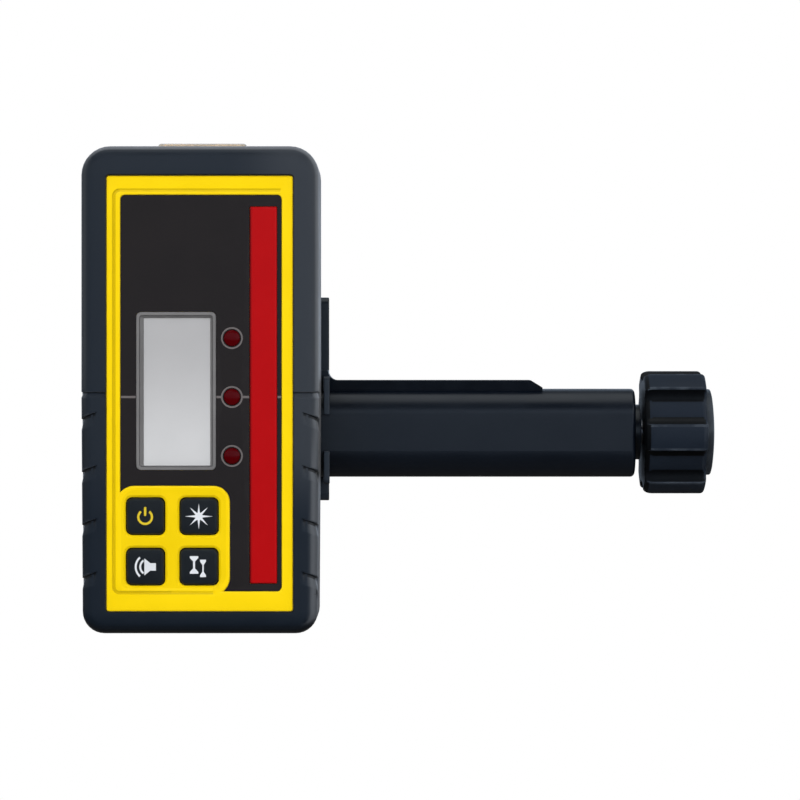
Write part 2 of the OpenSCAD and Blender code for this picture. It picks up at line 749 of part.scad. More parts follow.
module vial_cradle() color([0.85, 0.65, 0.2]) difference() {
    translate([-cradle_x, vial_y - cradle_d, vial_z - cradle_d])
        cube([2 * cradle_x, 2 * cradle_d, body_top - vial_z + cradle_d]);
    rod_x(vial_y, vial_z, -vial_len / 2 - fit, vial_len / 2 + fit, vial_r + run);
    prism_x(-vial_len / 2 - fit, vial_len / 2 + fit)
        rect(vial_y - vial_r - run, vial_y + vial_r + run, vial_z, body_top + over);
}

module level_vial() color([0.95, 0.85, 0.6]) difference() {
    rod_x(vial_y, vial_z, -vial_len / 2, vial_len / 2, vial_r);
    rod_x(vial_y, vial_z, -vial_len / 2 + vial_end, vial_len / 2 - vial_end, vial_r - vial_wall);
}

module vial_fluid() color([0.9, 0.8, 0.3]) difference() {
    rod_x(vial_y, vial_z, -vial_len / 2 + vial_end + run, vial_len / 2 - vial_end - run, vial_r - vial_wall - run);
    translate([0, vial_y, vial_z + vial_r - vial_wall]) sphere(r = bubble_share * (vial_r - vial_wall));
}

// A button: its cap, the flange that keeps it in and the stem over its switch
module key(col, row) color([0.1, 0.13, 0.18]) {
    prism_y(y_face - key_proud, y_key_flange + run) key_outline(col, row, key_gap);
    prism_y(y_key_flange, y_key_flange + key_flange_t) key_outline(col, row, -key_flange);
    rod_y(key_x0 + col * key_step_x, key_z0 - row * key_step_z, y_key_flange, y_key_stem, key_stem_r);
}

module power_button() key(0, 0);

module light_button() key(1, 0);

module sound_button() key(0, 1);

module accuracy_button() key(1, 1);

module battery_door() color([0.15, 0.16, 0.18]) difference() {
    union() {
        prism_y(y_door, y_door + door_t) {
            rect(-door_x, door_x, door_z0, hinge_z - ear_drop);
            rect(-barrel_x, barrel_x, door_z0, hinge_z);
        }
        rod_x(hinge_y, hinge_z, -barrel_x, barrel_x, barrel_r);
        prism_y(y_door - tongue_latch_len, y_door + run) rect(-tongue_latch_w / 2, tongue_latch_w / 2,
            bay_z0 + slide, bay_z0 + slide + tongue_latch_t);
        prism_y(y_door + door_t - run, y_door + door_t + pull_t) rect(-pull_w / 2, pull_w / 2,
            door_z0 + pull_h, door_z0 + 2 * pull_h);
    }
    rod_x(hinge_y, hinge_z, -door_x, door_x, pin_r + 2 * run);
}

// Section of the beam in Y and Z, grown by a gap
module beam_section(gap) {
    front_r = beam_front_r + gap;
    back_r_ = beam_back_r + gap;
    rect(-beam_d - gap + front_r, gap - back_r_, beam_bottom - gap, beam_top + gap);
    rect(-beam_d - gap, beam_y, beam_bottom - gap + front_r, beam_top + gap - front_r);
    rect(beam_y, gap, beam_bottom - gap + back_r_, beam_top + gap - back_r_);
    for (s = [-1, 1]) {
        translate([-beam_d - gap + front_r, beam_z + s * (beam_h / 2 + gap - front_r)]) circle(r = front_r);
        translate([gap - back_r_, beam_z + s * (beam_h / 2 + gap - back_r_)]) circle(r = back_r_);
    }
}

module clamp_beam() color([0.15, 0.18, 0.22]) difference() {
    prism_x(beam_start, beam_end) beam_section(0);
    rod_x(beam_y, beam_z, bore_x0, beam_end + over, bore_r);
    rod_x(beam_y, beam_z, bore_x0 - tail_len - over, bore_x0 + over, lead_r + run);
    prism_x(slot_x0, slot_x1) rect(beam_y - slot_w / 2, beam_y + slot_w / 2, beam_z, beam_top + over);
    for (y = jaw_screw_y, s = [-1, 1]) rod_x(y, beam_z + s * jaw_screw_z, beam_start - over,
        beam_start + jaw_screw_len, jaw_screw_r + run);
    for (x = mount_screw_x) rod_y(x, beam_z, -beam_d - over, -beam_d + mount_screw_len - mount_t, mount_screw_r + run);
}

module mount_plate() color([0.2, 0.22, 0.25]) difference() {
    union() {
        prism_y(y_back, -beam_d - hook_room)
            round_rect(-mount_half_w, mount_half_w, -mount_down, mount_up, mount_r);
        prism_y(y_back + run, -beam_d) {
            rect(-mount_half_w, mount_half_w, beam_z - seat_half, beam_z + seat_half);
            round_rect(-locate_x - mount_r, locate_x + mount_r, thumb_up - thumb_seat, thumb_up + thumb_seat, mount_r);
        }
    }
    rod_y(0, thumb_up, y_back - over, -beam_d + over, thumb_r + fit);
    for (s = [-1, 1]) rod_y(s * locate_x, thumb_up, y_back - over, -beam_d + over, locate_r + run);
    for (x = mount_screw_x) {
        rod_y(x, beam_z, y_back - over, -beam_d + over, mount_screw_r + run);
        rod_y(x, beam_z, y_back - over, y_back + mount_screw_head_t + fit, mount_screw_head_r + fit);
    }
}

module mount_plate_screws() color("silver") for (x = mount_screw_x) {
    rod_y(x, beam_z, y_back + fit, y_back + fit + mount_screw_head_t, mount_screw_head_r);
    rod_y(x, beam_z, y_back + fit + mount_screw_head_t, y_back + mount_screw_len - fit, mount_screw_r);
}

module locating_pins() color("silver") for (s = [-1, 1])
    rod_y(s * locate_x, thumb_up, y_back - locate_in, -beam_d, locate_r);

module fixed_jaw() color([0.15, 0.18, 0.22]) difference() {
    prism_x(fixed_x0, fixed_x1) {
        round_rect(-jaw_front, jaw_reach, -jaw_half_h, jaw_half_h, jaw_r);
        beam_section(0);
        rect(-jaw_front - jaw_r, jaw_r, beam_bottom, beam_top);
    }
    for (y = jaw_screw_y, s = [-1, 1]) {
        rod_x(y, beam_z + s * jaw_screw_z, fixed_x0 - over, fixed_x1 + over, jaw_screw_r + run);
        rod_x(y, beam_z + s * jaw_screw_z, fixed_x0 - over, fixed_x0 + jaw_screw_head_t + fit, jaw_screw_head_r + fit);
    }
}

module fixed_jaw_screws() color("silver") for (y = jaw_screw_y, s = [-1, 1]) {
    rod_x(y, beam_z + s * jaw_screw_z, fixed_x0 + fit, fixed_x0 + fit + jaw_screw_head_t, jaw_screw_head_r);
    rod_x(y, beam_z + s * jaw_screw_z, fixed_x0 + fit + jaw_screw_head_t, beam_start + jaw_screw_len - fit, jaw_screw_r);
}

// A jaw pad, flat on the jaw and behind the rod seat
module pad(x0) color([0.1, 0.1, 0.11]) prism_x(x0, x0 + pad_t)
    round_rect(slide, jaw_reach - pad_inset, -jaw_half_h + pad_inset, jaw_half_h - pad_inset, jaw_r - pad_inset);

module fixed_jaw_pad() pad(fixed_x1);

module sliding_jaw_pad() pad(jaw_x0 - pad_t);

module end_bush() color([0.75, 0.6, 0.3]) difference() {
    union() {
        rod_x(beam_y, beam_z, bush_x0, beam_end, bore_r - run);
        rod_x(beam_y, beam_z, beam_end, beam_end + flange_t, flange_r);
    }
    rod_x(beam_y, beam_z, bush_x0 - over, beam_end + flange_t + over, lead_r + run);
}

module sliding_jaw() color([0.16, 0.19, 0.24]) difference() {
    union() {
        prism_x(jaw_x0, jaw_x1) round_rect(-jaw_front, jaw_reach, -jaw_half_h, jaw_half_h, jaw_r);
        prism_x(jaw_x0, collar_x1) intersection() {
            beam_section(collar_wall);
            rect(-beam_d - hook_t, jaw_reach, beam_bottom - collar_wall, beam_top + collar_wall);
        }
        prism_x(jaw_x0, jaw_x1) rect(tongue_y0, 0, beam_top, tongue_top + tongue_fillet);
        prism_y(tongue_y0, tongue_y1) polygon([[jaw_x0, beam_top + tongue_gap], [jaw_x0 + tongue_len, beam_top + tongue_gap],
            [jaw_x0 + tongue_len - tongue_slant, tongue_top], [jaw_x0, tongue_top]]);
        prism_y(tongue_y0, tongue_y1) difference() {
            rect(jaw_x1 - run, jaw_x1 + tongue_fillet, tongue_top - run, tongue_top + tongue_fillet);
            translate([jaw_x1 + tongue_fillet, tongue_top + tongue_fillet]) circle(r = tongue_fillet);
        }
    }
    prism_x(jaw_x0 - over, collar_x1 + over) {
        beam_section(slide);
        rect(-beam_d - collar_wall - over, beam_y, beam_z - flat_half, beam_z + flat_half);
    }
    prism_x(nut_x0 - fit, nut_x0 + nut_len + fit)
        rect(beam_y - nut_neck_w / 2 - fit, beam_y + nut_neck_w / 2 + fit, beam_top, beam_top + slide + nut_neck_in + fit);
}

module jaw_nut() color([0.8, 0.65, 0.25]) difference() {
    union() {
        rod_x(beam_y, beam_z, nut_x0, nut_x0 + nut_len, nut_r);
        prism_x(nut_x0, nut_x0 + nut_len) rect(beam_y - nut_neck_w / 2, beam_y + nut_neck_w / 2, beam_z,
            beam_top + slide + nut_neck_in);
    }
    rod_x(beam_y, beam_z, nut_x0 - over, nut_x0 + nut_len + over, lead_r + run);
}

module lead_screw() color("silver") difference() {
    union() {
        rod_x(beam_y, beam_z, bore_x0 - tail_len, lead_end, lead_r);
        rod_x(beam_y, beam_z, bush_x0 - slide - thrust_t, bush_x0 - slide, thrust_r);
    }
    translate([cross_pin_x, beam_y, beam_z]) cylinder(h = cross_pin_len + over, r = cross_pin_r + run, center = true);
}

module clamp_knob() color([0.15, 0.18, 0.22]) translate([0, beam_y, beam_z]) difference() {
    intersection() {
        prism_x(knob_x0, knob_x1) difference() {
            circle(r = knob_r);
            for (k = [0:knob_lobes - 1]) rotate(knob_phase + (k + 1 / 2) * 360 / knob_lobes)
                translate([knob_r + flute_r - flute_deep, 0]) circle(r = flute_r);
        }
        translate([knob_x0, 0, 0]) rotate([0, 90, 0]) rotate_extrude() polygon([[0, 0], [knob_r - knob_chamfer, 0],
            [knob_r, knob_chamfer], [knob_r, knob_len - knob_chamfer], [knob_r - knob_chamfer, knob_len], [0, knob_len]]);
    }
    rod_x(0, 0, knob_x0 - over, lead_end + fit, lead_r + run);
    rod_x(0, 0, knob_x1 - cap_plug_t - fit, knob_x1 + over, cap_r - cap_plug_t + fit);
    translate([cross_pin_x, 0, 0]) cylinder(h = cross_pin_len + 2 * fit, r = cross_pin_r + run, center = true);
}

module knob_cap() color([0.2, 0.23, 0.28]) translate([knob_x1, beam_y, beam_z]) rotate([0, 90, 0]) {
    dome_r = (cap_r * cap_r + cap_h * cap_h) / (2 * cap_h);
    intersection() {
        translate([0, 0, cap_rim + cap_h - dome_r]) sphere(r = dome_r);
        cylinder(h = cap_rim + cap_h, r = cap_r);
    }
    translate([0, 0, -cap_plug_t]) cylinder(h = cap_plug_t + run, r = cap_r - cap_plug_t);
}

module knob_pin() color("silver") translate([cross_pin_x, beam_y, beam_z])
    cylinder(h = cross_pin_len, r = cross_pin_r, center = true);

module thumb_screw_washer() color("silver") difference() {
    rod_y(0, thumb_up, -beam_d, -beam_d + washer_t, washer_r);
    rod_y(0, thumb_up, -beam_d - over, -beam_d + washer_t + over, thumb_r + fit);
}

module thumb_screw() color("silver") rod_y(0, thumb_up, y_back - thumb_in, y_thumb + thumb_head_len / 2, thumb_r);

module thumb_screw_head() color([0.12, 0.13, 0.15]) difference() {
    rod_y(0, thumb_up, y_thumb, y_thumb + thumb_head_len, thumb_head_r);
    rod_y(0, thumb_up, y_thumb - over, y_thumb + thumb_head_len / 2 + fit, thumb_r + run);
    for (k = [0:thumb_grooves - 1]) rod_y(thumb_head_r * cos(360 * k / thumb_grooves),
        thumb_up + thumb_head_r * sin(360 * k / thumb_grooves), y_thumb - over, y_thumb + thumb_head_len + over,
        thumb_groove_r);
}

rubber_jacket();
front_case();
rear_case();
case_seal();
case_screws();
face_panel();
sensor_window();
lcd_bezel();
lcd_glass();
lcd_module();
indicator_lamps();
main_board();
board_screws();
tact_switches();
photodiodes();
beeper();
battery_cells();
battery_contacts();
contact_springs();
hinge_pin();
back_insert();
vial_cradle();
level_vial();
vial_fluid();
power_button();
light_button();
sound_button();
accuracy_button();
battery_door();
clamp_beam();
mount_plate();
mount_plate_screws();
locating_pins();
fixed_jaw();
fixed_jaw_screws();
fixed_jaw_pad();
end_bush();
sliding_jaw();
sliding_jaw_pad();
jaw_nut();
lead_screw();
clamp_knob();
knob_cap();
knob_pin();
thumb_screw_washer();
thumb_screw();
thumb_screw_head();
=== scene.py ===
"""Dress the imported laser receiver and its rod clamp, and set them in a plain white studio.

Lengths in this file are millimetres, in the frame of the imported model: X across the receiver, Y from its front to its
back and Z upward. Meshes are turned into metres when they become objects.
"""

from __future__ import annotations

import json
import logging
import math
from dataclasses import dataclass, field, replace
from enum import Enum
from typing import Any, Callable, Iterable, Sequence

import bmesh
import bpy
from bmesh.types import BMEdge, BMVert
from bpy.types import Material, Mesh, Node, NodeSocket, NodeTree, Object
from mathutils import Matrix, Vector
from mathutils.geometry import delaunay_2d_cdt

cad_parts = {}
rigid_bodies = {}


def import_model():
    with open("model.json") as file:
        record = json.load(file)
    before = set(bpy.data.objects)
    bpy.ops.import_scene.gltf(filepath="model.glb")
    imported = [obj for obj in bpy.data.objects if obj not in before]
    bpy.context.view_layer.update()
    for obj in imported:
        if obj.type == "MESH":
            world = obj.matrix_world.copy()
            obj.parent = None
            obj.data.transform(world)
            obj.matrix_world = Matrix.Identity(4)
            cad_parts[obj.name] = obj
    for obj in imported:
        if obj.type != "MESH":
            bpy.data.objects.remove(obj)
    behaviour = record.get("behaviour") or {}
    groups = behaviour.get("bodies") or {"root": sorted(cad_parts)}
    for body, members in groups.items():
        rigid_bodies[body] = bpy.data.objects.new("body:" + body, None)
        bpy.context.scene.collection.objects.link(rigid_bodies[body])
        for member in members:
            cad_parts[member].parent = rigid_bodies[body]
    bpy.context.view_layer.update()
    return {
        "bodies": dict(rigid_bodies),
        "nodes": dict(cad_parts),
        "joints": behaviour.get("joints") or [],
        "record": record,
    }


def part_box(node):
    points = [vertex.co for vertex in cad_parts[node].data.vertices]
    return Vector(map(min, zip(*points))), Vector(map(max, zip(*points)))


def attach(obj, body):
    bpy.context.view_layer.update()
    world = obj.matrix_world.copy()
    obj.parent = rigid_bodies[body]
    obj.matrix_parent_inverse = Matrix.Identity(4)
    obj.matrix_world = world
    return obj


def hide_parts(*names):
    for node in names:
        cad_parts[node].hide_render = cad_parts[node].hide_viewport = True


LOG = logging.getLogger("receiver")
MM = 0.001
WELD = 0.0008
SMOOTH_ANGLE = math.radians(34)
SHARP_ANGLE = math.radians(40)
FLAT_ANGLE = math.radians(0.6)
QUARTER = math.pi / 2
BEND_RADIUS = 0.5
WHITE = (1.0, 1.0, 1.0, 1.0)
BLACK = (0.0, 0.0, 0.0, 1.0)

Rgb = tuple[float, float, float]
Pair = tuple[float, float]
Loop = list[Pair]
Point = tuple[float, float, float]
Place = Callable[[float, float], Point]


class Body(Enum):
    """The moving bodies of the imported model."""

    RECEIVER = "receiver"
    DOOR = "door"
    JAW = "jaw"
    KNOB = "knob"
    CARRIAGE = "thumb_carriage"
    THUMB = "thumb"


class Facing(Enum):
    """The way that a screw's head looks, as turns about X, Y and Z from facing up."""

    BACK = (math.radians(-90), 0.0, 0.0)
    LEFT = (0.0, math.radians(-90), 0.0)


@dataclass(frozen=True)
class Box:
    """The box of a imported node."""

    x0: float
    y0: float
    z0: float
    x1: float
    y1: float
    z1: float

    @classmethod
    def of(cls, node: str) -> Box:
        """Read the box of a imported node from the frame."""
        low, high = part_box(node)
        return cls(*(v / MM for v in low), *(v / MM for v in high))

    @property
    def centre(self) -> Point:
        """The middle of the box."""
        return ((self.x0 + self.x1) / 2, (self.y0 + self.y1) / 2, (self.z0 + self.z1) / 2)

    def front(self, grow: float, r: float, steps: int = 6) -> Loop:
        """Draw the outline in X and Z at a distance outside the box, with rounded corners."""
        return round_rect(self.x0 - grow, self.x1 + grow, self.z0 - grow, self.z1 + grow, r, steps)

    def side(self, inset: float, r: float, steps: int) -> Loop:
        """Draw the outline in Y and Z at a distance inside the box, with rounded corners."""
        return round_rect(self.y0 + inset, self.y1 - inset, self.z0 + inset, self.z1 - inset, r, steps)


# Outlines

def arc(centre: Pair, r: float, start: float, turn: float, steps: int) -> Loop:
    """Draw part of a circle from a first angle through a turn, in radians, with both its ends."""
    angles = (start + turn * k / steps for k in range(steps + 1))
    return [(centre[0] + r * math.cos(a), centre[1] + r * math.sin(a)) for a in angles]


def circle(centre: Pair, r: float, steps: int = 48) -> Loop:
    """Draw a whole circle, anticlockwise."""
    return arc(centre, r, 0.0, math.tau, steps)[:-1]


def filleted(corners: Sequence[tuple[float, float, float]], steps: int = 6) -> Loop:
    """Draw a polygon with rounded corners.

    Args:
        corners: each corner's place and its radius, which may be zero.
        steps: chords on each rounded corner.

    Returns:
        The points of the outline.
    """
    loop: Loop = []
    for i, (u, v, r) in enumerate(corners):
        if r <= 0:
            loop.append((u, v))
            continue
        tip = Vector((u, v))
        back = (Vector(corners[i - 1][:2]) - tip).normalized()
        ahead = (Vector(corners[(i + 1) % len(corners)][:2]) - tip).normalized()
        half = back.angle(ahead) / 2
        middle = tip + (back + ahead).normalized() * (r / math.sin(half))
        first = tip + back * (r / math.tan(half)) - middle
        last = tip + ahead * (r / math.tan(half)) - middle
        start = math.atan2(first.y, first.x)
        turn = (math.atan2(last.y, last.x) - start + math.pi) % math.tau - math.pi
        loop += arc((middle.x, middle.y), r, start, turn, steps)
    return loop


def round_rect(u0: float, u1: float, v0: float, v1: float, r: float, steps: int = 6) -> Loop:
    """Draw a rectangle from its left, right, lower and upper edges, with rounded corners."""
    return filleted([(u1, v0, r), (u1, v1, r), (u0, v1, r), (u0, v0, r)], steps)


def turned_by(loop: Loop, angle: float) -> Loop:
    """Turn an outline about the origin by an angle in radians."""
    cos, sin = math.cos(angle), math.sin(angle)
    return [(u * cos - v * sin, u * sin + v * cos) for u, v in loop]


def between(first: Loop, last: Loop, share: float) -> Loop:
    """Draw an outline a share of the way from one outline to another with as many points."""
    return [(p[0] + (q[0] - p[0]) * share, p[1] + (q[1] - p[1]) * share) for p, q in zip(first, last)]


def encloses(loop: Loop, point: Vector) -> bool:
    """Tell whether an outline goes round a point.

    Args:
        loop: the outline.
        point: the point.

    Returns:
        True where the point lies inside.
    """
    inside = False
    for (u0, v0), (u1, v1) in zip(loop, loop[1:] + loop[:1]):
        if (v0 > point.y) != (v1 > point.y) and point.x < u0 + (point.y - v0) * (u1 - u0) / (v1 - v0):
            inside = not inside
    return inside


def ramp(value: float, low: float, high: float) -> float:
    """Ease a value from 0 at low to 1 at high."""
    t = min(max((value - low) / (high - low), 0.0), 1.0)
    return t * t * (3 - 2 * t)


# Meshes

def at_y(y: float) -> Place:
    """Give the map from an outline in X and Z to points at one depth."""
    return lambda u, v: (u, y, v)


def at_x(x: float) -> Place:
    """Give the map from an outline in Y and Z to points at one X."""
    return lambda u, v: (x, u, v)


def at_z(z: float) -> Place:
    """Give the map from an outline in X and Y to points at one height."""
    return lambda u, v: (u, v, z)


def at_depths(loops: Iterable[tuple[Loop, float]]) -> list[list[Point]]:
    """Put outlines in X and Z each at its own depth."""
    return [[(u, y, v) for u, v in loop] for loop, y in loops]


def at_steps(loops: Iterable[tuple[Loop, float]]) -> list[list[Point]]:
    """Put outlines in Y and Z each at its own X."""
    return [[(x, u, v) for u, v in loop] for loop, x in loops]


def at_heights(loops: Iterable[tuple[Loop, float]]) -> list[list[Point]]:
    """Put outlines in X and Y each at its own height."""
    return [[(u, v, z) for u, v in loop] for loop, z in loops]


class Solid:
    """Gather the faces of one piece."""

    def __init__(self) -> None:
        """Start with no faces."""
        self.bm = bmesh.new()

    def ring(self, points: Iterable[Point]) -> list[BMVert]:
        """Add points and give them back as vertices."""
        return [self.bm.verts.new(p) for p in points]

    def skin(self, rings: Sequence[Sequence[Point]], joined: bool = False) -> list[list[BMVert]]:
        """Stretch a skin over closed rings that have the same number of points.

        Args:
            rings: the rings in order.
            joined: whether the last ring runs on into the first.

        Returns:
            The vertices, ring by ring.
        """
        rows = [self.ring(r) for r in rings]
        for a, b in zip(rows, rows[1:] + rows[:1] if joined else rows[1:]):
            for i, vertex in enumerate(a):
                j = (i + 1) % len(a)
                self.bm.faces.new((vertex, a[j], b[j], b[i]))
        return rows

    def closed(self, rings: Sequence[Sequence[Point]]) -> Solid:
        """Stretch a skin over rings and close both ends with flat faces.

        Args:
            rings: the rings in order.

        Returns:
            This solid.
        """
        rows = self.skin(rings)
        self.bm.faces.new(rows[0])
        self.bm.faces.new(rows[-1])
        return self

    def fill(self, outer: Loop, holes: Sequence[Loop], place: Place) -> Solid:
        """Fill an outline with flat faces, round its holes.

        Args:
            outer: the outline.
            holes: outlines inside it that stay open.
            place: map from the outline's plane to a point.

        Returns:
            This solid.
        """
        points: list[Vector] = []
        edges: list[tuple[int, int]] = []
        for loop in (outer, *holes):
            base = len(points)
            points += [Vector(p) for p in loop]
            edges += [(base + i, base + (i + 1) % len(loop)) for i in range(len(loop))]
        found = delaunay_2d_cdt(points, edges, [], 1, 1e-6)
        vertices = self.ring(place(p.x, p.y) for p in found[0])
        for face in found[2]:
            middle = sum((found[0][i] for i in face), Vector((0.0, 0.0))) / len(face)
            if encloses(outer, middle) and not any(encloses(hole, middle) for hole in holes):
                self.bm.faces.new([vertices[i] for i in face])
        bmesh.ops.delete(self.bm, geom=[v for v in vertices if not v.link_faces], context="VERTS")
        return self

    def plate(self, outer: Loop, holes: Sequence[Loop], near: Place, far: Place) -> Solid:
        """Add a flat plate with square edges.

        Args:
            outer: its outline.
            holes: its openings.
            near: place of one side.
            far: place of the other side.

        Returns:
            This solid.
        """
        for place in (near, far):
            self.fill(outer, holes, place)
        for loop in (outer, *holes):
            self.skin([[near(*p) for p in loop], [far(*p) for p in loop]])
        return self

    def turned(self, profile: Sequence[Pair], place: Callable[[float, float, float], Point],
               steps: int = 64) -> Solid:
        """Turn a profile of radii and heights about an axis into a closed shape."""
        return self.closed([[place(u, v, h) for u, v in circle((0.0, 0.0), r, steps)] for r, h in profile])

    def mesh(self, name: str) -> Mesh:
        """Weld the faces, point them outwards and make a mesh in metres.

        Args:
            name: name of the mesh.

        Returns:
            The mesh.
        """
        bmesh.ops.remove_doubles(self.bm, verts=self.bm.verts, dist=WELD)
        bmesh.ops.recalc_face_normals(self.bm, faces=self.bm.faces)
        bmesh.ops.scale(self.bm, vec=(MM, MM, MM), verts=self.bm.verts)
        made = bpy.data.meshes.new(name)
        self.bm.to_mesh(made)
        self.bm.free()
        return made


def mark_bend(mesh: Mesh) -> None:
    """Write how sharply each face bends away from its neighbours, outward bends above zero, as the attribute bend."""
    bm = bmesh.new()
    bm.from_mesh(mesh)
    middles = [face.calc_center_median() for face in bm.faces]
    bends = [0.0] * len(bm.faces)
    for edge in bm.edges:
        if len(edge.link_faces) != 2:
            continue
        pair = [face.index for face in edge.link_faces]
        gap = max((middles[pair[0]] - middles[pair[1]]).length / MM, 0.01)
        bend = max(-1.0, min(1.0, edge.calc_face_angle_signed(0.0) / gap * BEND_RADIUS))
        for index in pair:
            if abs(bend) > abs(bends[index]):
                bends[index] = bend
    bm.free()
    old = mesh.attributes.get("bend")
    if old:
        mesh.attributes.remove(old)
    mesh.attributes.new("bend", "FLOAT", "FACE").data.foreach_set("value", bends)


def paint_shade(obj: Object, amount: float, where: Callable[[Vector, Vector], bool]) -> None:
    """Mark faces of a settled piece for painted shade, which its finish darkens as if they lay in a recess.

    Args:
        obj: the piece.
        amount: how strong the painted shade is, up to 1.
        where: tells from a face's middle in millimetres and its normal whether it is marked.
    """
    marks = obj.data.attributes["bend"].data
    for face in obj.data.polygons:
        if where(face.center / MM, face.normal):
            marks[face.index].value = -amount


def rub(obj: Object, share: Callable[[Vector, Vector], float]) -> None:
    """Write a painted highlight: how far each point of a settled piece is lightened, from the point in millimetres and
    its normal, as a point attribute of this function's name.
    """
    amounts = [share(point.co / MM, point.normal) for point in obj.data.vertices]
    obj.data.attributes.new("rub", "FLOAT", "POINT").data.foreach_set("value", amounts)


def bake(obj: Object) -> None:
    """Turn a piece's modifiers into a plain mesh."""
    graph = bpy.context.evaluated_depsgraph_get()
    made = bpy.data.meshes.new_from_object(obj.evaluated_get(graph))
    obj.modifiers.clear()
    obj.data = made


def settle(obj: Object) -> Object:
    """Apply a piece's modifiers, smooth its curved faces, keep its flat ones flat and mark its bends.

    Args:
        obj: the piece.

    Returns:
        The same object with a plain mesh.
    """
    if obj.modifiers:
        bake(obj)
    obj.data.shade_smooth()
    obj.data.set_sharp_from_angle(angle=SMOOTH_ANGLE)
    flats = obj.modifiers.new("flats", "WEIGHTED_NORMAL")
    flats.keep_sharp = True
    bake(obj)
    mark_bend(obj.data)
    return obj


def is_sharp(edge: BMEdge) -> bool:
    """Tell whether two faces meet at an edge and bend sharply there."""
    return len(edge.link_faces) == 2 and edge.calc_face_angle(0.0) >= SHARP_ANGLE


def linked(name: str, mesh: Mesh) -> Object:
    """Make an object at the origin and put it in the scene."""
    obj = bpy.data.objects.new(name, mesh)
    bpy.context.scene.collection.objects.link(obj)
    return obj


# Node trees

class Tree:
    """Add nodes to a node tree in a few words."""

    def __init__(self, tree: NodeTree) -> None:
        """Start with an empty tree."""
        self.tree = tree
        tree.nodes.clear()

    def add(self, kind: str, inputs: dict[str | int, Any] | None = None, **settings: Any) -> Node:
        """Add a node.

        Args:
            kind: the node's type.
            inputs: a value or a socket for each named or numbered input.
            settings: properties of the node.

        Returns:
            The node.
        """
        node = self.tree.nodes.new(kind)
        for key, value in settings.items():
            setattr(node, key, value)
        self.join(node, inputs or {})
        return node

    def join(self, node: Node, inputs: dict[str | int, Any]) -> None:
        """Link a socket to, or set a value on, each named or numbered input of a node."""
        for key, value in inputs.items():
            if isinstance(value, NodeSocket):
                self.tree.links.new(value, node.inputs[key])
            else:
                node.inputs[key].default_value = value

    def group(self, made: NodeTree, inputs: dict[str | int, Any]) -> Any:
        """Add a node group.

        Args:
            made: the group's tree.
            inputs: a value or a socket for each input.

        Returns:
            The outputs of its node.
        """
        node = self.tree.nodes.new("ShaderNodeGroup")
        node.node_tree = made
        self.join(node, inputs)
        return node.outputs

    def math(self, operation: str, *values: Any) -> NodeSocket:
        """Add a Math node and give its output."""
        return self.add("ShaderNodeMath", dict(enumerate(values)), operation=operation).outputs[0]

    def times(self, a: Any, b: Any) -> NodeSocket:
        """Multiply two values."""
        return self.math("MULTIPLY", a, b)

    def most(self, a: Any, b: Any) -> NodeSocket:
        """Take the greater of two values."""
        return self.math("MAXIMUM", a, b)

    def mix(self, share: Any, a: Any, b: Any) -> NodeSocket:
        """Add a colour mix and give its output."""
        return self.add("ShaderNodeMix", {0: share, 6: a, 7: b}, data_type="RGBA").outputs[2]

    def spread(self, value: Any, low: float, high: float, to_low: float, to_high: float) -> NodeSocket:
        """Add a smooth Map Range and give its output."""
        return self.add("ShaderNodeMapRange", {0: value, 1: low, 2: high, 3: to_low, 4: to_high},
                        interpolation_type="SMOOTHSTEP").outputs[0]

    def socket(self, name: str, kind: str, out: bool = False, value: Any = None) -> Any:
        """Add a named socket to the tree's interface.

        Args:
            name: name of the socket.
            kind: its type.
            out: whether it is an output.
            value: its default.

        Returns:
            The interface socket.
        """
        made = self.tree.interface.new_socket(name, in_out="OUTPUT" if out else "INPUT", socket_type=kind)
        if value is not None:
            made.default_value = value
        return made


def linear(rgb: Rgb) -> tuple[float, float, float, float]:
    """Turn a colour of 0 to 255 as seen on a screen into linear light."""
    parts = [c / 255 for c in rgb]
    return (*(p / 12.92 if p <= 0.04045 else ((p + 0.055) / 1.055) ** 2.4 for p in parts), 1.0)


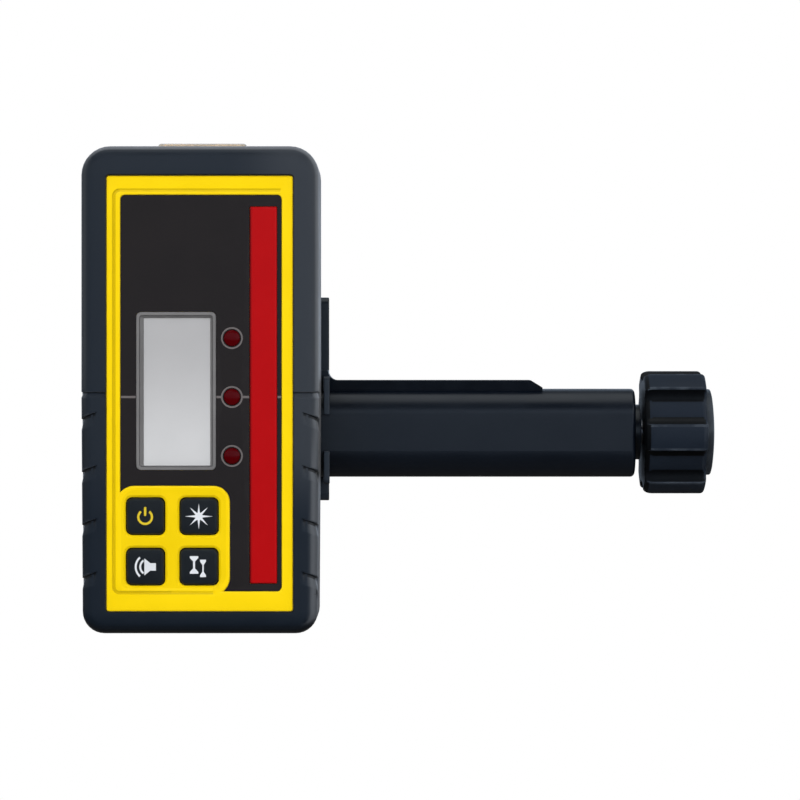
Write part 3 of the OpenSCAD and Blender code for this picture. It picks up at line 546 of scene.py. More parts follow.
class Effects:
    """Shader node groups that several finishes share."""

    GRAIN = "Moulded grain"
    WEAR = "Edge wear"

    @classmethod
    def grain(cls) -> NodeTree:
        """Make the group for the grain of a moulded or rolled surface.

        Returns:
            The group, with a height, a roughness and a slow mottle.
        """
        if cls.GRAIN in bpy.data.node_groups:
            return bpy.data.node_groups[cls.GRAIN]
        tree = Tree(bpy.data.node_groups.new(cls.GRAIN, "ShaderNodeTree"))
        for name, value in (("Grain", 2000.0), ("Mottle", 80.0), ("Roughness", 0.5), ("Spread", 0.1),
                            ("Stretch", 1.0)):
            tree.socket(name, "NodeSocketFloat", value=value)
        for name in ("Height", "Roughness", "Mottle"):
            tree.socket(name, "NodeSocketFloat", out=True)
        given = tree.add("NodeGroupInput").outputs
        place = tree.add("ShaderNodeTexCoord").outputs["Object"]
        squeeze = tree.add("ShaderNodeCombineXYZ", {0: 1.0, 1: 1.0, 2: given["Stretch"]}).outputs[0]
        along = tree.add("ShaderNodeVectorMath", {0: place, 1: squeeze}, operation="MULTIPLY").outputs[0]
        fine = tree.add("ShaderNodeTexNoise", {"Vector": along, "Scale": given["Grain"], "Detail": 3.0}).outputs[0]
        slow = tree.add("ShaderNodeTexNoise", {"Vector": place, "Scale": given["Mottle"], "Detail": 5.0}).outputs[0]
        mottle = tree.spread(slow, 0.3, 0.7, 0.0, 1.0)
        blend = tree.math("ADD", tree.times(mottle, 0.6), tree.times(fine, 0.4))
        rough = tree.math("MULTIPLY_ADD", tree.math("SUBTRACT", blend, 0.5), given["Spread"], given["Roughness"])
        tree.add("NodeGroupOutput", {"Height": fine, "Roughness": rough, "Mottle": mottle})
        return tree.tree

    @classmethod
    def wear(cls) -> NodeTree:
        """Make the group for wear on outward edges, painted shade in inward corners and marked recesses, and painted
        highlights.

        Returns:
            The group, with a colour.
        """
        if cls.WEAR in bpy.data.node_groups:
            return bpy.data.node_groups[cls.WEAR]
        tree = Tree(bpy.data.node_groups.new(cls.WEAR, "ShaderNodeTree"))
        for name in ("Colour", "Worn"):
            tree.socket(name, "NodeSocketColor")
        for name, value in (("Amount", 0.4), ("Dark", 0.4), ("Mottle", 0.5), ("Tint", 0.05)):
            tree.socket(name, "NodeSocketFloat", value=value)
        tree.socket("Colour", "NodeSocketColor", out=True)
        given = tree.add("NodeGroupInput").outputs
        bend = tree.add("ShaderNodeAttribute", attribute_name="bend").outputs["Fac"]
        place = tree.add("ShaderNodeTexCoord").outputs["Object"]
        patch = tree.add("ShaderNodeTexNoise", {"Vector": place, "Scale": 260.0, "Detail": 4.0}).outputs[0]
        edge = tree.times(tree.spread(bend, 0.1, 0.8, 0.0, 1.0), tree.spread(patch, 0.35, 0.65, 0.25, 1.0))
        # Wear on outward edges, in patches, mixes in the pale colour.
        worn = tree.times(edge, given["Amount"])
        # Painted shade: inward bends and faces marked as recesses are darkened towards black.
        corner = tree.times(tree.spread(bend, -0.7, -0.1, 1.0, 0.0), given["Dark"])
        lift = tree.math("MULTIPLY_ADD", tree.math("SUBTRACT", given["Mottle"], 0.5), given["Tint"], 1.0)
        toned = tree.add("ShaderNodeVectorMath", {0: given["Colour"], 3: lift}, operation="SCALE").outputs[0]
        # Painted highlight: a point attribute written for painted highlights lightens towards the pale colour.
        rub = tree.add("ShaderNodeAttribute", attribute_name="rub").outputs["Fac"]
        lightened = tree.mix(tree.most(worn, rub), toned, given["Worn"])
        tree.add("NodeGroupOutput", {"Colour": tree.mix(corner, lightened, BLACK)})
        return tree.tree


@dataclass(frozen=True)
class Finish:
    """A surface finish: its colours are 0 to 255, its lengths are millimetres."""

    name: str
    colour: Rgb
    # The pale colour, used for wear on edges and for painted highlights.
    worn: Rgb
    roughness: float
    spread: float = 0.12
    grain: float = 0.5
    depth: float = 0.02
    mottle: float = 14.0
    tint: float = 0.12
    wear: float = 0.35
    # Strength of the painted shade in inward corners and marked recesses.
    dark: float = 0.35
    metallic: float = 0.0
    specular: float = 0.5
    coat: float = 0.0
    coat_roughness: float = 0.1
    transmission: float = 0.0
    ior: float = 1.5
    sheen: float = 0.0
    sheen_roughness: float = 0.5
    stretch: float = 1.0

    def base_colour(self, tree: Tree) -> Any:
        """Give the colour that the wear starts from."""
        return linear(self.colour)

    def material(self) -> Material:
        """Make the finish's material, once.

        Returns:
            The material.
        """
        label = self.name + "_finish"
        if label in bpy.data.materials:
            return bpy.data.materials[label]
        made = bpy.data.materials.new(label)
        made.use_nodes = True
        tree = Tree(made.node_tree)
        grain = tree.group(Effects.grain(), {
            "Grain": 1 / (self.grain * MM), "Mottle": 1 / (self.mottle * MM), "Roughness": self.roughness,
            "Spread": self.spread, "Stretch": self.stretch})
        wear = tree.group(Effects.wear(), {
            "Worn": linear(self.worn), "Amount": self.wear, "Dark": self.dark, "Tint": self.tint,
            "Colour": self.base_colour(tree), "Mottle": grain["Mottle"]})
        bump = tree.add("ShaderNodeBump", {
            "Height": grain["Height"], "Distance": self.depth * MM, "Strength": 1.0})
        shader = tree.add("ShaderNodeBsdfPrincipled", {
            "Base Color": wear["Colour"], "Roughness": grain["Roughness"],
            "Normal": bump.outputs[0], "Metallic": self.metallic, "Specular IOR Level": self.specular,
            "Coat Weight": self.coat, "Coat Roughness": self.coat_roughness, "IOR": self.ior,
            "Transmission Weight": self.transmission, "Sheen Weight": self.sheen,
            "Sheen Roughness": self.sheen_roughness})
        tree.add("ShaderNodeOutputMaterial", {"Surface": shader.outputs[0]})
        return made


@dataclass(frozen=True)
class GradedFinish(Finish):
    """A finish whose colour changes along one axis, from the first colour to a second."""

    far_colour: Rgb = (255, 255, 255)
    axis: int = 2
    start: float = 0.0
    end: float = 1.0

    def base_colour(self, tree: Tree) -> Any:
        """Give a colour that changes from start to end.

        Args:
            tree: the material's tree.

        Returns:
            The colour's socket.
        """
        place = tree.add("ShaderNodeTexCoord").outputs["Object"]
        along = tree.add("ShaderNodeSeparateXYZ", {0: place}).outputs[self.axis]
        low, high = sorted((self.start, self.end))
        share = tree.spread(along, low * MM, high * MM, *((0.0, 1.0) if self.start < self.end else (1.0, 0.0)))
        return tree.mix(share, linear(self.colour), linear(self.far_colour))


class Finishes:
    """The finishes of this receiver and its clamp."""

    # The jacket's pale colour is mostly painted highlight on its rims and lip, and its high dark amount paints shade in
    # corners, at the foot and at the hem.
    RUBBER = Finish("jacket_rubber", (12, 22, 33), (116, 120, 126), 0.42, grain=0.35, depth=0.012, wear=0.1,
                    dark=0.8, sheen=0.2, sheen_roughness=0.3)
    # The yellow's dark amount paints shade in the crease and round the buttons.
    YELLOW = Finish("yellow_plastic", (250, 214, 4), (255, 228, 60), 0.36, grain=0.45, depth=0.006, tint=0.04,
                    wear=0.2, dark=0.3, specular=0.12)
    CASE = Finish("case_plastic", (24, 27, 31), (58, 61, 66), 0.5, grain=0.55, depth=0.03)
    FILM = Finish("panel_film", (33, 30, 31), (56, 54, 54), 0.4, grain=0.25, depth=0.003, tint=0.08, wear=0.1,
                  specular=0.15)
    BEZEL = Finish("bezel_grey", (112, 111, 112), (140, 140, 141), 0.42, grain=0.3, depth=0.006, wear=0.15,
                   specular=0.25)
    PRINT = Finish("print_grey", (104, 99, 99), (112, 108, 108), 0.5, grain=0.3, depth=0.003, wear=0.0,
                   specular=0.2)
    MODULE = Finish("module_white", (228, 228, 224), (240, 240, 238), 0.6)
    LAMP = Finish("lamp_red", (74, 1, 5), (110, 14, 18), 0.16, grain=0.6, depth=0.002, wear=0.1, specular=0.12)
    BOARD = Finish("board_green", (16, 92, 46), (60, 130, 80), 0.4, grain=0.8, depth=0.02, coat=0.3)
    STEEL = Finish("steel", (176, 177, 180), (215, 215, 218), 0.3, spread=0.2, grain=0.12, depth=0.006, metallic=1.0,
                   wear=0.5, stretch=0.05)
    SWITCH = Finish("switch_black", (28, 28, 30), (60, 60, 62), 0.5)
    CELL = Finish("cell_wrap", (176, 132, 52), (210, 180, 120), 0.3, metallic=0.6, grain=0.2, depth=0.004)
    BRASS = Finish("brass", (196, 158, 74), (228, 200, 130), 0.28, metallic=1.0, grain=0.15, depth=0.006, wear=0.5)
    CRADLE = Finish("cradle_plastic", (236, 214, 186), (246, 232, 212), 0.45, grain=0.4, depth=0.01)
    VIAL = Finish("vial_clear", (243, 226, 200), (250, 240, 224), 0.12, spread=0.03, grain=0.8, depth=0.002, wear=0.0,
                  dark=0.0, tint=0.0, transmission=0.45, ior=1.49)
    LIQUID = Finish("vial_liquid", (246, 214, 150), (246, 214, 150), 0.05, spread=0.02, grain=0.8, depth=0.001,
                    wear=0.0, dark=0.0, tint=0.0, transmission=0.6, ior=1.36)
    KEY = Finish("button_rubber", (21, 26, 31), (48, 54, 60), 0.48, grain=0.3, depth=0.01, wear=0.2, specular=0.25)
    ICON = Finish("icon_white", (222, 226, 232), (236, 238, 242), 0.5, grain=0.3, depth=0.004, wear=0.0, specular=0.2)
    POWER_ICON = Finish("icon_yellow", (214, 188, 44), (230, 206, 80), 0.5, grain=0.3, depth=0.004, wear=0.0,
                        specular=0.2)
    # The clamp's pale colour also serves the painted highlights on the jaw and its tongue.
    CLAMP = Finish("clamp_plastic", (6, 13, 23), (40, 49, 60), 0.34, grain=0.4, depth=0.006, wear=0.15, specular=0.6)
    # The knob's high dark amount paints shade in its flutes and on its back.
    KNOB = Finish("knob_plastic", (19, 28, 40), (70, 78, 88), 0.5, grain=0.4, depth=0.006, wear=0.55, dark=0.92,
                  specular=0.3)
    CAP = Finish("cap_plastic", (38, 45, 53), (70, 77, 85), 0.42, grain=0.4, depth=0.006, wear=0.3, specular=0.5)
    PAD = Finish("pad_rubber", (24, 24, 26), (52, 52, 54), 0.6, grain=0.3, depth=0.02)
    PLATE = Finish("plate_metal", (30, 32, 36), (120, 122, 126), 0.4, grain=0.3, depth=0.015, wear=0.45)
    # The window is graded darker along its left edge: painted shade.
    WINDOW = GradedFinish("window_red", (100, 9, 13), (180, 30, 34), 0.22, grain=0.5, depth=0.001, wear=0.0, dark=0.0,
                          tint=0.05, specular=0.1, far_colour=(174, 9, 14), axis=0, start=15.2, end=16.4)
    # The display glass is graded darker towards the top: painted shade.
    DISPLAY = GradedFinish("display_glass", (203, 204, 206), (210, 212, 212), 0.16, grain=0.25, depth=0.0005, wear=0.0,
                           dark=0.0, tint=0.03, specular=0.2, far_colour=(176, 176, 178), axis=2, start=-20.0, end=20.0)


# Repeats

Repeat = tuple[NodeTree, dict[str, str]]


class Repeats:
    """Geometry node trees that place copies of a shape."""

    @staticmethod
    def _tree(name: str, sockets: Sequence[tuple[str, str]]) -> tuple[Tree, dict[str, str], Any]:
        """Start a tree with a geometry input and output, the given inputs and one for the finish.

        Args:
            name: name of the tree.
            sockets: name and type of each further input.

        Returns:
            The tree, the identifier of each input by name, and the sockets of the input node.
        """
        tree = Tree(bpy.data.node_groups.new(name, "GeometryNodeTree"))
        tree.socket("Geometry", "NodeSocketGeometry")
        keys = {label: tree.socket(label, kind).identifier
                for label, kind in (*sockets, ("Finish", "NodeSocketMaterial"))}
        tree.socket("Geometry", "NodeSocketGeometry", out=True)
        return tree, keys, tree.add("NodeGroupInput").outputs

    @staticmethod
    def _close(tree: Tree, shape: Any, finish: Any) -> None:
        """End a tree: make the copies real, weld them and give them their material."""
        real = tree.add("GeometryNodeRealizeInstances", {0: shape}).outputs[0]
        welded = tree.add("GeometryNodeMergeByDistance", {"Geometry": real, "Distance": WELD * MM}).outputs[0]
        dressed = tree.add("GeometryNodeSetMaterial", {"Geometry": welded, "Material": finish}).outputs[0]
        tree.add("NodeGroupOutput", {0: dressed})

    @classmethod
    def around(cls) -> Repeat:
        """Make the tree that repeats a shape round the X axis and moves it to a centre.

        Returns:
            The tree and the identifiers of its inputs.
        """
        tree, keys, given = cls._tree("Repeat around X", [
            ("Count", "NodeSocketInt"), ("Centre", "NodeSocketVector")])
        points = tree.add("GeometryNodeMeshLine", {"Count": given["Count"], "Offset": (0.0, 0.0, 0.0)}).outputs[0]
        step = tree.math("DIVIDE", math.tau, given["Count"])
        turn = tree.math("MULTIPLY", tree.add("GeometryNodeInputIndex").outputs[0], step)
        spin = tree.add("ShaderNodeCombineXYZ", {0: turn}).outputs[0]
        copies = tree.add("GeometryNodeInstanceOnPoints", {
            "Points": points, "Instance": given["Geometry"], "Rotation": spin}).outputs[0]
        moved = tree.add("GeometryNodeTransform", {"Geometry": copies, "Translation": given["Centre"]}).outputs[0]
        cls._close(tree, moved, given["Finish"])
        return tree.tree, keys

    @classmethod
    def row(cls) -> Repeat:
        """Make the tree that repeats a shape in a straight row.

        Returns:
            The tree and the identifiers of its inputs.
        """
        tree, keys, given = cls._tree("Repeat in a row", [
            ("Count", "NodeSocketInt"), ("Step", "NodeSocketVector")])
        points = tree.add("GeometryNodeMeshLine", {"Count": given["Count"], "Offset": given["Step"]}).outputs[0]
        copies = tree.add("GeometryNodeInstanceOnPoints", {
            "Points": points, "Instance": given["Geometry"]}).outputs[0]
        cls._close(tree, copies, given["Finish"])
        return tree.tree, keys

    @classmethod
    def scatter(cls) -> Repeat:
        """Make the tree that puts a shape on each point of another object, turned one way.

        Returns:
            The tree and the identifiers of its inputs.
        """
        tree, keys, given = cls._tree("Place on points", [
            ("Places", "NodeSocketObject"), ("Turn", "NodeSocketVector")])
        places = tree.add("GeometryNodeObjectInfo", {"Object": given["Places"]}).outputs["Geometry"]
        copies = tree.add("GeometryNodeInstanceOnPoints", {
            "Points": places, "Instance": given["Geometry"], "Rotation": given["Turn"]}).outputs[0]
        cls._close(tree, copies, given["Finish"])
        return tree.tree, keys

    @staticmethod
    def apply(obj: Object, made: Repeat, **values: Any) -> Object:
        """Run a tree on an object and keep the result as a plain mesh.

        Args:
            obj: object whose mesh is the shape to repeat.
            made: the tree and the identifiers of its inputs.
            values: value of each input.

        Returns:
            The object, settled.
        """
        modifier = obj.modifiers.new("repeat", "NODES")
        modifier.node_group = made[0]
        for key, value in values.items():
            modifier[made[1][key]] = value
        return settle(obj)


# Pieces

@dataclass
class Workshop:
    """Make pieces, put them on their bodies and hide the nodes that they stand for."""

    frame: dict[str, Any]
    count: int = 0
    square: float = 0.999

    def keep(self, obj: Object, finish: Finish, body: str, nodes: Sequence[str] = (),
             slot: str = "") -> Object:
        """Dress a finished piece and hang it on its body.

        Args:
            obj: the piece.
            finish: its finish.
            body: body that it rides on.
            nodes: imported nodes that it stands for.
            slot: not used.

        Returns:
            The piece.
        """
        self._paint(obj, finish)
        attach(obj, body)
        slot or finish.name
        if nodes:
            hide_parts(*nodes)
        self.count += 1
        LOG.info("%s rides on %s, %d faces", obj.name, body, len(obj.data.polygons))
        return obj

    @staticmethod
    def _paint(obj: Object, finish: Finish) -> None:
        """Give an object one finish all over."""
        obj.data.materials.clear()
        obj.data.materials.append(finish.material())

    def row(self, name: str, solid: Solid, finish: Finish, body: str, count: int, step: float,
            nodes: Sequence[str] = (), slot: str = "") -> Object:
        """Repeat a solid up a row and keep it as one piece.

        Args:
            name: name of the piece.
            solid: the lowest copy.
            finish: its finish.
            body: body that it rides on.
            count: number of copies.
            step: height from one copy to the next.
            nodes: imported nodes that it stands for.
            slot: the record's material slot, where it isn't the finish's name.

        Returns:
            The piece.
        """
        obj = Repeats.apply(linked(name, solid.mesh(name)), Repeats.row(), Count=count,
                            Step=(0.0, 0.0, step * MM), Finish=finish.material())
        return self.keep(obj, finish, body, nodes, slot)

    def make(self, name: str, solid: Solid, finish: Finish, body: str, nodes: Sequence[str] = (),
             slot: str = "", edge: float = 0.0) -> Object:
        """Turn a solid into a piece and keep it.

        Args:
            name: name of the piece.
            solid: its faces.
            finish: its finish.
            body: body that it rides on.
            nodes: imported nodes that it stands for.
            slot: the record's material slot, where it isn't the finish's name.
            edge: width of the rounding of its edges.

        Returns:
            The piece.
        """
        obj = linked(name, solid.mesh(name))
        if edge:
            self._round(obj, edge, 3)
        return self.keep(settle(obj), finish, body, nodes, slot)

    @staticmethod
    def _round(obj: Object, width: float, segments: int) -> bpy.types.BevelModifier:
        """Add a rounding of the sharp edges to a piece and give its modifier."""
        bevel = obj.modifiers.new("round", "BEVEL")
        bevel.width = width * MM
        bevel.segments = segments
        bevel.use_clamp_overlap = False
        bevel.limit_method = "ANGLE"
        bevel.angle_limit = SHARP_ANGLE
        bevel.miter_outer = "MITER_ARC"
        return bevel

    def soften(self, node: str, name: str, finish: Finish, body: str, width: float, segments: int = 2,
               slot: str = "", weigh: Callable[[BMEdge], float] | None = None,
               drop: Callable[[float], float] | None = None, merge: bool = True) -> Object:
        """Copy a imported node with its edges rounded, to stand for it.

        Args:
            node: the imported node.
            name: name of the piece.
            finish: its finish.
            body: body that it rides on.
            width: width of the rounding.
            segments: faces across the rounding.
            slot: the record's material slot, where it isn't the finish's name.
            weigh: share of the rounding that an edge gets, where not all edges get it.
            drop: how far a point at a given height is lowered.
            merge: whether the parts of a flat face become one.

        Returns:
            The piece.
        """
        bm = bmesh.new()
        bm.from_mesh(self.frame["nodes"][node].data)
        bmesh.ops.remove_doubles(bm, verts=bm.verts, dist=WELD * MM)
        if merge:
            bmesh.ops.dissolve_limit(bm, angle_limit=FLAT_ANGLE, verts=bm.verts, edges=bm.edges)
        for vertex in bm.verts if drop else ():
            vertex.co.z -= drop(vertex.co.z / MM) * MM
        if weigh:
            layer = bm.edges.layers.float.new("bevel_weight_edge")
            for edge in bm.edges:
                edge[layer] = weigh(edge)
        mesh = bpy.data.meshes.new(name)
        bm.to_mesh(mesh)
        bm.free()
        obj = linked(name, mesh)
        bevel = self._round(obj, width, segments)
        bevel.limit_method = "WEIGHT" if weigh else "ANGLE"
        settle(obj)
        paint_shade(obj, 0.0, lambda middle, normal: max(map(abs, normal)) > self.square)
        return self.keep(obj, finish, body, [node], slot)

    def dress(self, node: str, finish: Finish) -> None:
        """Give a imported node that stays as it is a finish."""
        self._paint(self.frame["nodes"][node], finish)


@dataclass
class Jacket:
    """The rubber jacket: a moulded sleeve with lips round the front and back, grips and an on-grade notch."""

    corner_r: float = 9.0
    foot_r: float = 6.8
    edge_r: float = 3.2
    taper: float = 0.4
    lip_t: float = 1.8
    wall: float = 2.5
    face: tuple[float, float, float, float] = (-28.65, 28.65, -65.8, 68.0)
    back_lips: tuple[float, float, float] = (6.4, 4.2, 8.3)
    hem_r: float = 0.35
    crown: float = 0.25
    grip_first: float = -4.7
    grip_pitch: float = 16.3
    grip_count: int = 4
    grip_deep: float = 0.75
    grip_fade: float = 3.6
    grip_slope: float = 0.3
    grip_reach: float = 5.0
    grade_top: float = 1.5
    grade_fade: float = 1.7
    grade_deep: float = 0.75
    arc_steps: int = 8
    core_z: Pair = (-60.5, 60.0)
    core_x: float = 20.0
    slant_z: tuple[float, float, float] = (1.5, -2.6, -1.4)
    plain_z: tuple[float, ...] = (-63.75, -62.2, -60.6, 68.25, 64.0, 60.0, 50.0, 40.0, 30.0, 20.0, 12.0, 6.0, 3.0)
    grip_steps: tuple[float, ...] = (6.0, 3.0, 0.5, 0.06, -0.06, -0.25, -1.0, -2.2, -5.5, -8.0)
    grade_steps: tuple[float, ...] = (0.5, 0.06, -0.1, -0.5)
    top_steps: tuple[float, ...] = (24.0, 20.0, 15.1, 10.0, 5.0, 0.0)
    lip_shares: tuple[float, ...] = (0.0, 0.02, 0.12, 0.26, 0.36, 0.46, 0.56, 0.66, 0.76, 0.86, 0.93, 1.0)
    grip_end: tuple[float, ...] = (4.2, 4.9, 5.7, 6.6)
    side_y: tuple[float, ...] = (-50.3, -46.6, -43.0, -39.4, -35.7)
    opening_r: float = 0.8
    vial_gap: float = 0.15
    foot_dark: tuple[Pair, ...] = ((0.2, 0.15), (0.32, 0.35), (0.44, 0.55), (0.56, 0.75))
    hem_dark: float = 0.7
    lip_rub: Pair = (0.025, 0.11)
    right_rub: Pair = (0.47, 0.95)
    left_rub: float = 0.16
    top_rub: float = 0.9
    box: Box = field(init=False)

    def __post_init__(self) -> None:
        """Read the jacket's box."""
        self.box = Box.of("rubber_jacket")

    def stations(self) -> list[float]:
        """Give the heights of the points up a side, close together at the notches."""
        heights = set(self.plain_z)
        for k in range(self.grip_count):
            top = self.grip_first - k * self.grip_pitch
            heights |= {top + step for step in self.grip_steps}
            heights |= {top - self.grip_fade, top - self.grip_fade - 0.4}
        heights |= {self.grade_top + step for step in self.grade_steps}
        heights |= {self.grade_top - self.grade_fade, self.grade_top - self.grade_fade - 0.3}
        low, high = self.box.z0 + self.corner_r, self.box.z1 - self.corner_r
        return sorted(z for z in heights if low - 0.01 <= z <= high + 0.01)

    def top_x(self) -> list[float]:
        """Give the places of the points along the top, from right to left."""
        right = [self.box.x1 - self.corner_r, *self.top_steps]
        return right + [-x for x in reversed(right[:-1])]

    def outline(self, half: float, z0: float, z1: float, r: float, taper: float, shift: float = 0.0,
                foot: float | None = None) -> Loop:
        """Draw one ring of the jacket in X and Z, always with the same number of points.

        Args:
            half: half width.
            z0: lower edge.
            z1: upper edge.
            r: corner radius.
            taper: narrowing of each side at the bottom.
            shift: drop of the side points, so that they follow the slant of the grips.
            foot: radius of the lower corners, where it isn't that of the upper ones.

        Returns:
            The points, anticlockwise from the lower right.
        """
        low, high = self.core_z
        rb = r if foot is None else foot
        ref = (self.box.z0 + self.corner_r, self.box.z1 - self.corner_r)

        def height(z: float) -> float:
            """Move a height to where this ring has it."""
            if z > high:
                return high + (z - high) * (z1 - r - high) / (ref[1] - high)
            if z < low:
                return low + (z - low) * (z0 + rb - low) / (ref[0] - low)
            start, *end = self.slant_z
            return z - shift * ramp(z, low, low + start) * (1 - ramp(z, *end))

        def side(z: float) -> float:
            """Give the half width at a height."""
            return half - taper * min(max(z / ref[0], 0.0), 1.0)

        def across(x: float, reach: float) -> float:
            """Move a place along an edge to where this ring has it."""
            span = self.box.x1 - self.corner_r - self.core_x
            if abs(x) <= self.core_x:
                return x
            return math.copysign(self.core_x + (abs(x) - self.core_x) * (reach - self.core_x) / span, x)

        heights = [height(z) for z in self.stations()]
        def corner(x: float, z: float, radius: float, turns: int) -> Loop:
            """Draw a corner between two sides, without its ends."""
            return arc((x, z), radius, turns * QUARTER, QUARTER, self.arc_steps)[1:-1]

        right = [(side(z), z) for z in heights]
        top_x = self.top_x()
        lower = half - taper - rb
        loop = list(right)
        loop += corner(half - r, z1 - r, r, 0)
        loop += [(across(x, half - r), z1) for x in top_x]
        loop += corner(r - half, z1 - r, r, 1)
        loop += [(-x, z) for x, z in reversed(right)]
        loop += corner(-lower, z0 + rb, rb, 2)
        loop += [(-across(x, lower), z0) for x in top_x]
        loop += corner(lower, z0 + rb, rb, 3)
        return loop

    def notch(self, z: float, reach: float) -> float:
        """Give the depth of the notches at a point of a side.

        Args:
            z: height of the point before the slant of the grips.
            reach: distance outwards over the lip and round its edge, from where the grips start.

        Returns:
            The depth below the plain surface.
        """
        deep = 0.0
        below = self.grade_top - z
        if 0 < below < self.grade_fade:
            deep = self.grade_deep * ramp(below, 0.0, 0.1) * (1 - below / self.grade_fade)
        if reach > 0:
            for k in range(self.grip_count):
                below = self.grip_first - k * self.grip_pitch - z
                if 0 < below < self.grip_fade:
                    deep = self.grip_deep * ramp(reach, 0.0, 1.2) * ramp(below, 0.0, 0.1)
                    deep *= 1 - below / self.grip_fade
        return deep

    def rings(self) -> list[list[Point]]:
        """Give the rings of the sleeve, over the front lip, the side, the back lip and back through the inside."""
        b, e, hem = self.box, self.edge_r, self.hem_r
        _, x1, z0, z1 = self.face
        side, bottom, top = self.back_lips
        rings: list[list[Point]] = []
        stations = self.stations()
        left = len(stations) + 2 * (self.arc_steps - 1) + len(self.top_x())
        slots: dict[int, float] = dict(enumerate(stations))
        slots |= dict(enumerate(reversed(stations), left))

        def add(loop: Loop, y: float, out: float = 0.0, ahead: float = 0.0, reach: float = -1.0) -> None:
            """Add a ring at a depth, pressed in at the notches."""
            row: list[Point] = []
            for i, (x, z) in enumerate(loop):
                deep = self.notch(slots[i], reach) if i in slots and (out or ahead) else 0.0
                row.append((x - math.copysign(out * deep, x), y + ahead * deep, z))
            rings.append(row)

        def opening(grow: float) -> Loop:
            """Draw the front opening, grown by a distance."""
            return self.outline(x1 + grow, z0 - grow, z1 + grow, self.opening_r + grow, 0.0)

        def body(inset: float, reach: float = 0.0) -> Loop:
            """Draw the outside, inset by a distance."""
            return self.outline(b.x1 - inset, b.z0 + inset, b.z1 - inset, self.corner_r - inset, self.taper,
                                self.grip_slope * max(reach, 0.0), self.foot_r - inset)

        def back(grow: float) -> Loop:
            """Draw the back opening, grown by a distance."""
            return self.outline(b.x1 - side + grow, b.z0 + bottom - grow, b.z1 - top + grow, bottom + grow, 0.0)

        add(opening(0.0), b.y0 + self.lip_t)
        add(opening(0.0), b.y0 + hem)
        add(opening(hem * 0.3), b.y0 + hem * 0.3)
        lip = b.x1 - e - x1 - hem
        start = lip + e - self.grip_reach
        first = opening(hem)
        for share in self.lip_shares:
            reach = lip * share - start
            add(between(first, body(e, reach), share), b.y0 + self.crown * share ** 2, ahead=1.0, reach=reach)
        reach = lip - start
        first_a = math.atan(2 * self.crown / lip)
        r = e / (1 - math.sin(first_a))
        for k in range(1, self.arc_steps + 1):
            a = first_a + (QUARTER - first_a) * k / self.arc_steps
            at = reach + r * (a - first_a)
            y = b.y0 + self.crown + r * (math.cos(first_a) - math.cos(a))
            add(body(r * (1 - math.sin(a)), at), y, math.sin(a), math.cos(a), at)
        round_edge = reach + e * QUARTER
        for down in self.grip_end:
            y = b.y0 + down
            fade = 1.0 - ramp(y, b.y0 + 4.6, b.y0 + self.grip_end[-1])
            add(body(0.0, round_edge), y, fade, 0.0, round_edge + y - b.y0 - e)
        for y in self.side_y:
            add(body(0.0), y, 0.0)
        for k in range(self.arc_steps + 1):
            a = QUARTER * (1 - k / self.arc_steps)
            add(body(e * (1 - math.sin(a))), b.y1 - e * (1 - math.cos(a)))
        for share in (0.5, 1.0):
            add(between(body(e), back(hem), share), b.y1)
        add(back(hem * 0.3), b.y1 - hem * 0.3)
        add(back(0.0), b.y1 - hem)
        add(back(0.0), b.y1 - self.lip_t)
        cavity = self.outline(b.x1 - self.wall, b.z0 + self.wall, b.z1 - self.wall, self.corner_r - self.wall, 0.0)
        for y in (b.y1 - self.lip_t, *reversed(self.side_y), b.y0 + self.lip_t):
            add(cavity, y)
        return rings

    def build(self, shop: Workshop) -> None:
        """Make the jacket, with the opening for the vial in its top.

        Args:
            shop: the workshop.
        """
        solid = Solid()
        solid.skin(self.rings(), joined=True)
        cradle = Box.of("vial_cradle")
        inside = [f for f in solid.bm.faces if self._in_opening(f.calc_center_median(), cradle)]
        bmesh.ops.delete(solid.bm, geom=inside, context="FACES")
        rim = [e for e in solid.bm.edges if e.is_boundary]
        bmesh.ops.bridge_loops(solid.bm, edges=rim)
        made = shop.make("jacket", solid, Finishes.RUBBER, Body.RECEIVER.value, ["rubber_jacket"])
        # Painted highlight on the jacket's front edges and lip.
        rub(made, self._rubbed)
        # Painted shade: clear the marks on the front faces, then darken faces near the foot that face down and the hem
        # round the yellow face.
        paint_shade(made, 0.0, lambda middle, normal: normal.y < -0.95)
        low, front = self.box.z0 + self.edge_r + 1.0, self.box.y0 + self.edge_r + 2.0
        for amount, slope in self.foot_dark:
            paint_shade(made, amount, lambda middle, normal: -normal.z > slope and middle.z < low and middle.y < front)
        x0, x1, z0, z1 = self.face
        paint_shade(made, self.hem_dark, lambda middle, normal: normal.y > -0.97 and middle.y < self.box.y0 + 1.5
               and x0 - 0.5 < middle.x < x1 + 0.5 and z0 - 0.5 < middle.z < z1 + 0.5)

